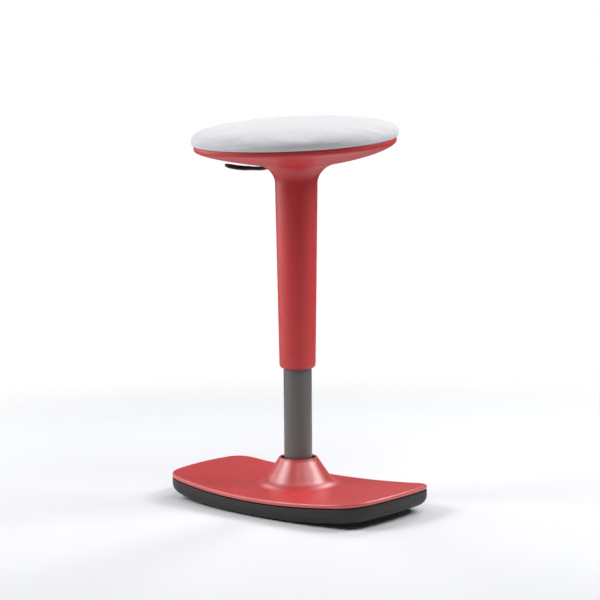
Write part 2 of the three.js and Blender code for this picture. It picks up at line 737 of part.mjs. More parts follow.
place('seat_hub', cut(joined(hubBlank, sloping(hubPlate)),
  turned([
    [0, hubFoot - cutOver],
    [cylinderRadius + gap, hubFoot - cutOver],
    [cylinderRadius + gap, cylinderTop - cylinderTaper],
    [cylinderAt(cupFloor) + gap, cupFloor],
    [cupInner, cupFloor],
    [cupInner, seatHeight],
    [0, seatHeight],
  ], roundSides),
  block(-cupOuter - cutOver, -pivotX + armHeight, -armWidth / 2 - armSlotSide, armWidth / 2 + armSlotSide,
    cupFloor + armHeight / 2, cupFloor + armSlotHeight),
  new THREE.CylinderGeometry(pinRadius + gap, pinRadius + gap, 2 * cupOuter, 14)
    .translate(-pivotX, 0, pivotZ),
  ...hubScrews.map(({ x, y }) => sloping(post(hubScrewRadius + gap, -hubPlateDrop - cutOver,
    -hubPlateDrop + hubPlateThick + cutOver, x, y, screwSides)))), 'castMetal', turnedSeat);

hubScrews.forEach(({ x, y }, i) => {
  const seat = -hubPlateDrop + hubPlateThick + gap;
  place(`hub_screw_${i + 1}`, joined(
    post(hubScrewHead, seat, seat + hubScrewHeadHeight, x, y, screwSides),
    post(hubScrewRadius, -hubPlateDrop - hubScrewBite, seat + hubScrewHeadHeight / 2, x, y, screwSides)),
  'steel', seatPlane);
});

place('lever_pin', new THREE.CylinderGeometry(pinRadius, pinRadius, 2 * pinHalf, 14)
  .translate(-pivotX, 0, pivotZ), 'steel', turnedSeat);

// seat shell

const seatSides = 40;
const seatPlan = Array.from({ length: seatSides }, (_, i) => {
  const angle = 2 * Math.PI * i / seatSides, c = Math.cos(angle), s = Math.sin(angle);
  const r = (Math.abs(c) ** seatSquareness + Math.abs(s) ** seatSquareness) ** (-1 / seatSquareness);
  return new THREE.Vector2(r * c, r * s);
});
// A row at a distance inside the shell's edge, and a row at a share of the way out to that edge
const edgeRing = (inset, z) => seatPlan.map((p) => new THREE.Vector3(
  p.x * (seatHalfWidth - inset), p.y * (seatHalfDepth - inset) - seatForward, z));
const shareRing = (share, height, bulge = 0) => seatPlan.map((p) => new THREE.Vector3(
  p.x * (seatHalfWidth + bulge) * share, (p.y * (seatHalfDepth + bulge) - seatForward) * share,
  height(share, p.y * share)));
const tilted = (ring) => ring.map((p) => p.clone().applyMatrix4(slope));
const dishBelow = (share, back) => -shellLip
  - shellDepth * Math.max(1 - share ** shellInnerPower, 0) ** shellOuterPower * (1 + shellBackShare * back);

// Rows of the dish from the rim inwards, then the fillet and the sleeve
const dishShares = [0.985, 0.94, 0.85, 0.72, 0.55];
const dishRings = dishShares.map((share) => tilted(shareRing(share, dishBelow)));
const filletShare = filletStart / seatHalfWidth;
const nextShare = 0.94;
const filletRow = tilted(shareRing(filletShare, dishBelow));
const filletNext = tilted(shareRing(filletShare * nextShare, dishBelow));
const handleShare = 0.56;
const filletBezier = seatPlan.map((p, i) => {
  const start = filletRow[i], inwards = filletNext[i].clone().sub(start);
  const away = new THREE.Vector3(p.x, p.y, 0).normalize();
  const reach = (start.dot(away) - sleeveTopRadius) / -inwards.dot(away);
  const meet = start.clone().addScaledVector(inwards, reach);
  meet.set(away.x * sleeveTopRadius, away.y * sleeveTopRadius, meet.z);
  const end = meet.clone().setZ(meet.z - filletRun);
  return new THREE.CubicBezierCurve3(start, start.clone().lerp(meet, handleShare),
    end.clone().lerp(meet, handleShare), end);
});
const filletSteps = 5;
const filletRings = steps(filletSteps).map((share) => filletBezier.map((curve) => curve.getPoint(share)));
const sleeveLine = (z) => sleeveFootRadius + (sleeveTopRadius - sleeveFootRadius)
  * (z - sleeveFoot) / (seatHeight - shellLip - shellDepth - filletRun - sleeveFoot);
const ringAt = (radius, z) => seatPlan.map((p) => {
  const q = p.clone().setLength(radius);
  return new THREE.Vector3(q.x, q.y, z);
});
const sleeveHighest = Math.min(...filletRings[filletSteps].map((p) => p.z)) - sleeveRound;
const sleeveLow = sleeveFoot + sleeveRound;
const lipInner = tubeRadius + slideGap;
const turnIn = sleeveFootRadius - lipInner;
const turnShares = [0.35, 0.7];
const outerRings = [
  ...dishRings, ...filletRings,
  ringAt(sleeveLine(sleeveHighest), sleeveHighest),
  ringAt(sleeveLine((sleeveHighest + sleeveLow) / 2), (sleeveHighest + sleeveLow) / 2),
  ringAt(sleeveFootRadius, sleeveLow),
];

// Inner skin: each row moved inwards along the surface's own direction
function offsetRings(rings, wall) {
  return rings.map((ring, j) => ring.map((p, i) => {
    const before = rings[Math.max(j - 1, 0)][i], after = rings[Math.min(j + 1, rings.length - 1)][i];
    const left = ring[(i + seatSides - 1) % seatSides], right = ring[(i + 1) % seatSides];
    const out = right.clone().sub(left).cross(after.clone().sub(before)).normalize();
    return p.clone().addScaledVector(out, wall);
  }));
}
const innerRings = offsetRings(outerRings, shellWall);
const innerRows = outerRings.map((_, row) => row).filter((row) => row > 1
  && (row % 2 === 1 || row >= dishShares.length));
const shellBody = loft([
  tilted(edgeRing(0, 0)),
  tilted(edgeRing(0, -shellLip)),
  ...outerRings,
  ...turnShares.map((share) => ringAt(
    lipInner + turnIn * Math.cos(share * Math.PI / 2), sleeveLow - sleeveRound * Math.sin(share * Math.PI / 2))),
  ringAt(lipInner, sleeveFoot),
  ringAt(lipInner, sleeveFoot + sleeveRound / 2),
  ...innerRows.map((row) => innerRings[row]).reverse(),
  tilted(edgeRing(shellWall + ledgeWidth, -ledgeDepth)),
  tilted(edgeRing(shellWall, -ledgeDepth)),
  tilted(edgeRing(shellWall, 0)),
]);
const posts = [[-1, -1], [1, -1], [1, 1], [-1, 1]].map(([i, j]) => ({
  x: i * (seatHalfWidth - postInset), y: j * (seatHalfDepth - postInset) - seatForward }));
const boardUnder = boardTop + boardThick;
const postTop = boardUnder + gap + clipFlangeThick + gap;
const armHalf = armWidth / 2 + armSlotSide;
const pocketHalf = paddleWidth / 2 + paddlePlay;
// what rises from the dish's floor starts inside its wall
const rootShare = 0.6;
const floorUnder = ({ x, y }) => {
  const share = Math.hypot(x / seatHalfWidth, y / seatHalfDepth);
  return dishBelow(share, y / seatHalfDepth) + shellWall * rootShare;
};
const risers = (places, radius, top) => places.map((at) =>
  sloping(post(radius, floorUnder(at), top, at.x, at.y, screwSides)));
place('seat_shell', cut(
  joined(shellBody,
    ...risers(hubScrews, hubBossRadius, -hubPlateDrop - gap),
    ...risers(posts, postRadius, -postTop)),
  ...hubScrews.map(({ x, y }) => sloping(post(hubScrewRadius + gap, -hubPlateDrop - hubScrewBite - gap,
    cutOver - hubPlateDrop, x, y, screwSides))),
  ...posts.map(({ x, y }) => sloping(post(clipStud + gap, -postTop - clipStudLength,
    cutOver - postTop, x, y, screwSides))),
  block(-armEnd, -shellSlotInner, -armHalf, armHalf, slotLow, slotLow + shellSlotHeight),
  block(-paddlePocket, -paddleStart, -pocketHalf, pocketHalf, slotLow, slotLow + shellSlotHeight)),
'redPlastic', turnedSeat);

// board, clips and cushion, in the plane of the seam

const seatMiddle = (z) => [new THREE.Vector3(0, -seatForward, z)];
place('cushion_board', loft([
  seatMiddle(-boardUnder),
  edgeRing(boardInset + boardChamfer, -boardUnder),
  edgeRing(boardInset, -boardUnder + boardChamfer),
  edgeRing(boardInset, -boardTop - boardChamfer),
  edgeRing(boardInset + boardChamfer, -boardTop),
  seatMiddle(-boardTop),
]), 'plywood', seatPlane);

posts.forEach(({ x, y }, i) => place(`board_clip_${i + 1}`, joined(
  post(clipFlange, -boardUnder - gap - clipFlangeThick, -boardUnder - gap, x, y, screwSides),
  post(clipStud, -postTop - clipStudLength + 2 * gap, -boardUnder - gap - clipFlangeThick / 2, x, y, screwSides)),
'whitePlastic', seatPlane));

const crownAt = (share, back) => cushionWaist + cushionCrown
  * Math.max(1 - share ** crownInnerPower, 0) ** crownOuterPower * (1 + crownBackShare * back);
const crownShares = [0.99, 0.96, 0.89, 0.77, 0.6, 0.4, 0.2];
const underBulgeShare = 0.75;    // the lower edge's roundness
const underHeightShare = 0.34;
place('cushion', loft([
  seatMiddle(-boardTop + gap),
  edgeRing(boardInset + boardChamfer, -boardTop + gap),
  edgeRing(cushionUnder - boardChamfer, cushionGap),
  edgeRing(cushionGap, cushionGap),
  edgeRing(-cushionBulge * underBulgeShare, cushionWaist * underHeightShare),
  edgeRing(-cushionBulge, cushionWaist),
  ...crownShares.map((share) => shareRing(share, crownAt, cushionBulge)),
  pole(cushionWaist + cushionCrown),
]), 'fabric', seatPlane);

// release lever

// Side view: nose over the button, arm through hub and shell, and the paddle below the dish
const armTop = pivotZ + armHeight / 2;
const armEndThick = paddleThick - 2 * paddleRound;
const paddleMid = pivotZ - paddleSag;
const side = new THREE.Shape();
side.moveTo(-pivotX - armHeight, armTop);
side.lineTo(0, armTop);
side.absarc(0, pivotZ, noseRadius, Math.PI / 2, -Math.PI, true);
side.lineTo(-pivotX + armHeight, pivotZ - armHeight / 2);
side.lineTo(-pivotX - armHeight, pivotZ - armHeight / 2);
side.lineTo(-armEnd, paddleMid - armEndThick / 2);
side.lineTo(-armEnd, paddleMid + armEndThick / 2);
side.lineTo(-pivotX - armHeight, armTop);
side.closePath();
const arm = new THREE.ExtrudeGeometry(side, { depth: armWidth, bevelEnabled: false, curveSegments: 10 });
arm.rotateX(Math.PI / 2);
arm.translate(0, armWidth / 2, 0);

// Paddle: rows across its width, swept along a gentle sag that lifts at the tip
const paddleRows = 9;
const wideShare = 0.4;           // where it has its full width
const tipShare = 0.72;           // where its rounded tip begins
const paddleRing = (share) => {
  const x = -paddleStart - (paddleEnd - paddleStart) * share;
  const root = armWidth / paddleWidth;
  const widening = root + (1 - root) * Math.sin(Math.min(share / wideShare, 1) * Math.PI / 2);
  const rounding = Math.sqrt(Math.max(1 - (Math.max(share - tipShare, 0) / (1 - tipShare)) ** 2, 0));
  const half = Math.max(paddleWidth / 2 * widening * rounding, paddleRound * 2);
  const z = paddleMid + paddleTipRise * share ** 3;
  const thick = paddleThick / 2;
  return [[-half, -thick + paddleRound], [-half + paddleRound, -thick], [half - paddleRound, -thick],
    [half, -thick + paddleRound], [half, thick - paddleRound], [half - paddleRound, thick],
    [-half + paddleRound, thick], [-half, thick - paddleRound]]
    .map(([y, dz]) => new THREE.Vector3(x, y, z + dz));
};
const lastShare = 0.95;
const paddleRings = [...steps(paddleRows - 2).map((s) => s * lastShare), 1].map(paddleRing);
const centreOf = (ring) => [ring.reduce((sum, p) => sum.add(p), new THREE.Vector3()).divideScalar(ring.length)];
const paddle = loft([centreOf(paddleRings[0]), ...paddleRings, centreOf(paddleRings[paddleRings.length - 1])]);
place('release_lever', cut(joined(arm, paddle),
  new THREE.CylinderGeometry(pinRadius + gap, pinRadius + gap, armWidth + 2 * cutOver, 14)
    .translate(-pivotX, 0, pivotZ)), 'blackPlastic', turnedSeat);

export default stool;
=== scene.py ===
"""A height-adjustable wobble stool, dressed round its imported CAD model.

Every new piece is a surface worked out with numpy in the CAD model's own frame, in metres: the floor is
Z = 0, the column's axis is the Z axis, and the foot is long across X.
"""
import math

import bmesh
import bpy
import numpy as np
from bpy.props import FloatProperty, FloatVectorProperty, IntProperty, PointerProperty
from mathutils import Matrix, Vector


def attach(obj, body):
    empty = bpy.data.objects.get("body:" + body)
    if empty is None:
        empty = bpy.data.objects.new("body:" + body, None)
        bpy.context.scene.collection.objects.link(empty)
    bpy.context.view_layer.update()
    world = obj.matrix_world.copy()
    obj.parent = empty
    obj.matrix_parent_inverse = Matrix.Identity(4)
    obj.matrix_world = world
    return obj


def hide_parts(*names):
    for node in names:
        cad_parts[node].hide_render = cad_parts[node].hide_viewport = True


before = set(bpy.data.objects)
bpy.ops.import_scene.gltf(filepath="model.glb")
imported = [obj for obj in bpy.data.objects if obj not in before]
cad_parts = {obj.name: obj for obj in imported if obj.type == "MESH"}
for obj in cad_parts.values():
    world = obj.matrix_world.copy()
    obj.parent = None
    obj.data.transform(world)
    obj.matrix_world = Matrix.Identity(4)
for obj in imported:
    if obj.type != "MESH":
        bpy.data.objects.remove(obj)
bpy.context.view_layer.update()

bl_info = {
    "name": "Wobble Stool",
    "version": (1, 0, 0),
    "blender": (4, 5, 0),
    "location": "View3D > Sidebar > Stool",
    "description": "Makes the visible pieces, finishes and studio of a wobble stool",
    "category": "Add Mesh",
}

MM = 0.001
# How far a cutter stands out of what it cuts
OVERRUN = 6 * MM


# Sizes and colours

def length(label, told, value):
    """A length property whose default is given in millimetres."""
    return FloatProperty(name=label, description=told, default=value * MM, unit="LENGTH", precision=5)


def angle(label, told, value):
    """An angle property whose default is given in degrees."""
    return FloatProperty(name=label, description=told, default=math.radians(value), unit="ROTATION",
                         precision=4)


def share(label, told, value):
    """A share property, as a rule from 0 to 1."""
    return FloatProperty(name=label, description=told, default=value, subtype="FACTOR", soft_min=0,
                         soft_max=1)


def plain(label, told, value):
    """A number without a unit."""
    return FloatProperty(name=label, description=told, default=value, precision=4)


def colour(label, told, value):
    """A colour property: linear red, green and blue."""
    return FloatVectorProperty(name=label, description=told, default=value, subtype="COLOR", size=3,
                               min=0, max=1)


class FootSizes(bpy.types.PropertyGroup):
    front_half: length("Front half length", "From the middle to the front corners", 214)
    back_half: length("Back half length", "From the middle to the back corners", 221.5)
    front: length("Front depth", "From the column to the front corners", 115)
    back: length("Back depth", "From the column to the back corners", 97)
    front_bulge: length("Front bulge", "How far the front edge bows out", 24)
    end_bulge: length("End bulge", "How far the ends bow out", 11.5)
    back_bulge: length("Back bulge", "How far the back edge bows out", 9)
    corner: length("Corner run", "Run of a rounded corner along each edge", 36)
    dish_radius: length("Dish radius", "The foot is bent upwards round this radius", 1800)
    sole_height: length("Sole height", "Height of the sole at the middle", 25.5)
    sole_edge: length("Sole edge", "Rounding of the sole's lower edge", 16)
    sole_lip: length("Sole lip", "Chamfer of the sole's upper edge", 1.2)
    sole_wall: length("Sole wall", "Rim round the recess for the plate", 13)
    sole_flat: length("Sole flat", "Half width of the strip that it rests on", 34)
    rocker_radius: length("Rocker radius", "Curve of the underside", 1300)
    plate_thick: length("Plate thickness", "The steel plate under the cover", 8)
    plate_inset: length("Plate inset", "From the foot's outline to the plate", 14.5)
    plate_play: length("Plate play", "Gap over and under the plate", 0.3)
    recess_middle: length("Recess middle", "Radius of the round middle of the plate's recess", 21)
    shadow_gap: length("Shadow gap", "Open line between sole and cover", 1.5)
    cover_rim: length("Cover rim", "Height of the cover's rim", 7)
    cover_wall: length("Cover wall", "Wall of the cover", 4)
    cover_skirt: length("Cover skirt", "Width of the rim's lower edge", 5)
    rim_round: length("Rim rounding", "Rounding of the cover's upper edge", 3.2)
    collar_top: length("Collar height", "Height of the cone's mouth", 83)
    collar_outer: length("Collar outside", "Outer radius of the cone's mouth", 33.8)
    collar_inner: length("Collar inside", "Inner radius of the cone's mouth", 30.4)
    collar_round: length("Collar rounding", "Rounding of the mouth's edge", 0.9)
    cone_angle: angle("Cone angle", "Lean of the cone from upright", 33.4)
    cone_fillet: length("Cone fillet", "Radius where the cone runs into the cover", 30)
    screw_x: length("Screw X", "Outer sole screws, from the column along X", 168)
    screw_front: length("Screw front", "Front sole screws, from the column", 88)
    screw_back: length("Screw back", "Back sole screws, from the column", 72)
    screw_hole: length("Screw hole", "Radius of a sole screw's hole", 2.5)
    well_radius: length("Screw well", "Radius of the well for a screw's head", 5.5)
    well_depth: length("Screw well depth", "Depth of that well", 5.8)
    groove_pitch: length("Groove pitch", "Distance between the sole's grip grooves", 8)
    groove_depth: length("Groove depth", "Depth of the sole's grip grooves", 0.7)
    grooves: IntProperty(name="Grooves", description="Grip grooves round the sole", default=6, min=0)


class ColumnSizes(bpy.types.PropertyGroup):
    tube_radius: length("Tube radius", "Outer radius of the lift tube", 25)
    tube_wall: length("Tube wall", "Wall of the lift tube", 2.5)
    tube_foot: length("Tube foot", "Height of the tube's lower end", 33.2)
    tube_top: length("Tube top", "Height of the tube's mouth", 350)
    tube_taper: length("Tube taper", "Length of the tapered end", 42)
    tube_drop: length("Tube taper drop", "How much the radius falls there", 1)
    tube_round: length("Tube rounding", "Rounding of the tube's mouth", 0.7)
    slide_gap: length("Slide gap", "Between the tube and the sleeve", 0.8)


class SeatSizes(bpy.types.PropertyGroup):
    swivel: angle("Swivel", "How far the seat is turned about the column", 24.1)
    height: length("Seat height", "Where the seam's plane crosses the column's axis", 643)
    slope: angle("Slope", "How far the seat slopes down to the front", 9.48)
    half_width: length("Half width", "Half of the seat's width", 176.9)
    half_depth: length("Half depth", "Half of the seat's depth", 163.1)
    forward: length("Forward", "The seat's middle lies this far in front of the column", 7.8)
    squareness: plain("Squareness", "2 is an oval, more is squarer", 2.1)
    lip: length("Lip", "Upright band under the seam", 7.7)
    depth: length("Dish depth", "From that band to the bottom of the dish", 43)
    inner_power: plain("Inner power", "Shapes the dish near the column", 1.546)
    outer_power: plain("Outer power", "Shapes the dish near the rim", 0.668)
    back_share: share("Back share", "How much deeper the dish is at the back", 0.449)
    wall: length("Wall", "Wall of the shell", 4)
    ledge_depth: length("Ledge depth", "Ledge for the board, below the seam", 10.3)
    ledge_width: length("Ledge width", "Width of that ledge", 6)
    sleeve_top: length("Sleeve top radius", "Radius of the sleeve under the dish", 37.3)
    sleeve_foot_radius: length("Sleeve foot radius", "Radius of the sleeve's lower end", 31.9)
    sleeve_length: length("Sleeve length", "From the seat's plane to the sleeve's lower end", 401.5)
    sleeve_round: length("Sleeve rounding", "Height of the turned-in lower edge", 7.5)
    fillet_start: length("Fillet start", "Where the dish leaves for the sleeve", 67)
    fillet_run: length("Fillet run", "Length of the fillet along the sleeve", 28)
    rim_round: length("Rim rounding", "Rounding of the shell's upper edge", 1)
    rim_chamfer: length("Rim chamfer", "Chamfer of the wall's inner edge", 0.3)
    bulge: length("Cushion bulge", "How far the cushion stands beyond the shell", 4.4)
    waist: length("Cushion waist", "Height of the cushion's widest line", 9.6)
    crown: length("Cushion crown", "Dome above that line", 28.4)
    crown_inner: plain("Crown inner power", "Shapes the dome near its middle", 1.8)
    crown_outer: plain("Crown outer power", "Shapes the dome near its edge", 0.45)
    crown_back: share("Crown back share", "How much fuller the dome is at the back", -0.1)
    seam: length("Seam gap", "Between the shell's edge and the cover", 0.35)
    under: length("Underside", "The pad's underside lies this far above the seam's plane", -0.7)
    under_inset: length("Underside inset", "From the shell's rim to the flat underside", 16)
    tuck_inset: length("Tuck inset", "From the rim to where the cover is tucked in", 6)
    seam_inset: length("Seam inset", "From the rim to the cover's edge at the seam", 0.6)
    voxel: length("Cloth grain", "Size of the simulated cloth's squares", 5)
    pinned: length("Pinned band", "Height of the cloth's pinned band over the seam", 1.5)
    cap: length("Cloth cap", "Most that the cloth may move a point", 6)
    cloth_blur: length("Cloth blur", "Width over which the cloth's motion is averaged", 4)
    cloth_share: share("Cloth share", "How much of the cloth's unevenness is kept", 0.5)
    spare_cloth: share("Spare cloth", "How much longer the cloth is near the seam", 0.03)
    spare_start: share("Spare start", "Share of the way out where the spare cloth begins", 0.72)
    folds: IntProperty(name="Folds", description="Drag folds along the seam", default=46, min=0)
    fold_height: length("Fold height", "Height of the largest folds", 1.3)


class LeverSizes(bpy.types.PropertyGroup):
    pivot_x: length("Pivot", "From the column's axis to the lever's pin", 27)
    pivot_z: length("Pivot height", "Height of the lever's pin", 597.9)
    pin_radius: length("Pin hole", "Radius of the hole for the pin", 2.8)
    arm_half: length("Arm half width", "Half width of the arm", 6.5)
    arm_height: length("Arm height", "Height of the arm", 6)
    nose_radius: length("Nose radius", "Rounding over the button", 3.6)
    start: length("Paddle start", "Where the paddle begins", 68)
    end: length("Paddle end", "Where the paddle ends", 131)
    half_width: length("Paddle half width", "Half width of the paddle", 17.5)
    thick: length("Paddle thickness", "Thickness of the paddle", 4.6)
    sag: length("Paddle sag", "How far its middle hangs below the pin", 3.1)
    tip_rise: length("Tip rise", "How far its tip rises", 6.2)
    lean: angle("Lean", "How far the paddle leans to the front, along the dish", 6.5)
    belly: length("Belly", "How much deeper the paddle is below than above", 2.6)
    pocket: length("Pocket", "How far the opening in the shell reaches", 106)
    pocket_play: length("Pocket play", "Between paddle and opening", 2.5)
    pocket_corner: length("Pocket corner", "Radius of the opening's corners at the paddle", 6)
    slot_inner: length("Slot inside", "Where the opening begins", 33)
    slot_outer: length("Slot outside", "Where its narrow part ends", 74)
    slot_play: length("Slot play", "Play beside the arm", 3)
    slot_corner: length("Slot corner", "Radius of its corners at the arm", 2.5)
    slot_height: length("Slot height", "Height of the cut through the dish", 31)


class Colours(bpy.types.PropertyGroup):
    red: colour("Red plastic", "Moulded cover, dish and sleeve", (0.61, 0.022, 0.025))
    rubber: colour("Rubber", "Sole", (0.024, 0.024, 0.023))
    tube: colour("Tube paint", "Lift tube", (0.154, 0.154, 0.146))
    fabric: colour("Fabric", "Cushion cover", (0.745, 0.75, 0.775))
    black_plastic: colour("Dark plastic", "Lever and bush", (0.028, 0.018, 0.018))
    floor: colour("Floor", "Studio floor", (0.86, 0.875, 0.905))


class StudioSizes(bpy.types.PropertyGroup):
    azimuth: angle("Azimuth", "The camera's place round the column", 39.9)
    distance: length("Distance", "From the column's axis to the camera, on the level", 2372.7)
    height: length("Camera height", "Height of the camera above the floor", 537.02)
    pitch: angle("Pitch", "How far the camera looks down", 4.22365)
    yaw: angle("Yaw", "How far it looks past the column's axis", -0.12301)
    roll: angle("Roll", "How far it is tilted about its own axis", -0.39738)
    lens: plain("Lens", "Focal length in millimetres", 81)
    floor_reach: length("Floor reach", "Radius of the floor", 1800)
    fade_start: length("Fade start", "Where the floor begins to fade out", 950)
    fade_width: length("Fade width", "Width of that fade", 800)
    lamp_distance: length("Lamp distance", "From the middle to each softbox", 2700)
    lamp_width: length("Lamp width", "Width of a softbox", 700)
    lamp_length: length("Lamp length", "Length of a softbox", 1100)
    aim_high: length("Aim high", "Height that the high softboxes are turned to", 300)
    aim_low: length("Aim low", "Height that the low softboxes are turned to", 550)
    band_middle: plain("Band middle", "Upward part of the direction at the middle of the sky's band", 0.085)
    band_half: plain("Band half", "Half of that band's width", 0.085)
    band_light: plain("Band light", "Strength of that band's light", 0.408)


GROUPS = {"foot": FootSizes, "column": ColumnSizes, "seat": SeatSizes, "lever": LeverSizes,
          "colours": Colours, "studio": StudioSizes}


def sizes(name):
    """The scene's values of one group."""
    return getattr(bpy.context.scene, "stool_" + name)


# Meshes

def make_object(name, points, quads, tris=None):
    """Puts points and faces in a mesh whose faces point outwards, going by the sign of its volume."""
    quads = np.asarray(quads, np.int64).reshape(-1, 4)
    tris = np.zeros((0, 3), np.int64) if tris is None else np.asarray(tris, np.int64).reshape(-1, 3)
    corners = np.concatenate([tris, quads[:, [0, 1, 2]], quads[:, [0, 2, 3]]])
    a, b, c = (points[corners[:, k]] for k in range(3))
    if np.einsum("ij,ij->i", a, np.cross(b, c)).sum() < 0:
        quads, tris = quads[:, ::-1], tris[:, ::-1]
    mesh = bpy.data.meshes.new(name)
    mesh.from_pydata(points.tolist(), [], quads.tolist() + tris.tolist())
    mesh.validate()
    mesh.shade_smooth()
    made = bpy.data.objects.new(name, mesh)
    bpy.context.scene.collection.objects.link(made)
    return made


def skin(name, rows, start=None, end=None, closed=False):
    """A surface from a grid of rows by columns. The columns wrap round; the rows are closed by a point
    at either end, or the last row joins the first. A row that repeats the one before it is left out."""
    moved = np.abs(np.diff(rows, axis=0)).max((1, 2)) > 1e-3 * MM
    rows = rows[np.concatenate([[True], moved])]
    count, columns = rows.shape[:2]
    grid = np.arange(count * columns).reshape(count, columns)
    near, far = (grid, np.roll(grid, -1, 0)) if closed else (grid[:-1], grid[1:])
    quads = np.stack([near, np.roll(near, -1, 1), np.roll(far, -1, 1), far], -1).reshape(-1, 4)
    points, tris = rows.reshape(-1, 3), []
    for point, row, turn in ((start, grid[0], 1), (end, grid[-1], -1)):
        if point is None:
            continue
        tip = np.full(columns, len(points))
        points = np.vstack([points, point])
        tris.append(np.stack([np.roll(row, -1), row, tip], -1)[:, ::turn])
    return make_object(name, points, quads, np.concatenate(tris) if tris else None)


def cut_away(body, *cutters):
    """Takes the cutters' solids out of a body and leaves plain geometry without edges of no length."""
    for cutter in cutters:
        cut = body.modifiers.new("cut", "BOOLEAN")
        cut.operation, cut.solver, cut.object = "DIFFERENCE", "EXACT", cutter
    settle(body)
    made = bmesh.new()
    made.from_mesh(body.data)
    bmesh.ops.dissolve_degenerate(made, dist=2e-3 * MM, edges=made.edges)
    made.to_mesh(body.data)
    made.free()
    for cutter in cutters:
        bpy.data.objects.remove(cutter)


def settle(body):
    """Applies a body's modifiers."""
    graph = bpy.context.evaluated_depsgraph_get()
    mesh = bpy.data.meshes.new_from_object(body.evaluated_get(graph))
    body.modifiers.clear()
    old, body.data = body.data, mesh
    bpy.data.meshes.remove(old)


def sharpen(body, degrees=38):
    """Smooth shading that breaks where two faces meet at more than an angle."""
    body.data.shade_smooth()
    made = bmesh.new()
    made.from_mesh(body.data)
    for edge in made.edges:
        if len(edge.link_faces) == 2 and edge.calc_face_angle(0) > math.radians(degrees):
            edge.smooth = False
    made.to_mesh(body.data)
    made.free()


def circle(count):
    """Cosines and sines of evenly spaced angles all the way round."""
    turn = np.arange(count) * 2 * np.pi / count
    return np.cos(turn), np.sin(turn)


def arc(from_degrees, to_degrees, count):
    """Cosines and sines of evenly spaced angles."""
    turn = np.radians(np.linspace(from_degrees, to_degrees, count))
    return np.cos(turn), np.sin(turn)


def swung(points, turn):
    """Points turned about the column: x cos - y sin and x sin + y cos."""
    c, n = math.cos(turn), math.sin(turn)
    x, y, z = np.moveaxis(points, -1, 0)
    return np.stack([x * c - y * n, x * n + y * c, z], -1)


def rod(name, radius, low, high, x, y):
    """An upright cylinder: a circle carried from one height to another."""
    c, n = circle(32)
    ring = np.stack([x + radius * c, y + radius * n, 0 * c], -1)
    rows = np.stack([ring + [0, 0, low], ring + [0, 0, high]])
    return skin(name, rows, [x, y, low], [x, y, high])


def turned(name, radii, heights):
    """A turned body: the profile's radius and height carried round the Z axis."""
    c, n = circle(128)
    radii, heights = np.asarray(radii)[:, None], np.asarray(heights)[:, None]
    return skin(name, np.stack([radii * c, radii * n, heights + 0 * c], -1), closed=True)


# Foot

def bezier(a, control, b, t):
    """A quadratic curve: both ends and the control point, weighted by (1-t)^2, 2t(1-t) and t^2."""
    t = np.asarray(t)[:, None]
    return a * (1 - t) ** 2 + control * 2 * t * (1 - t) + b * t ** 2


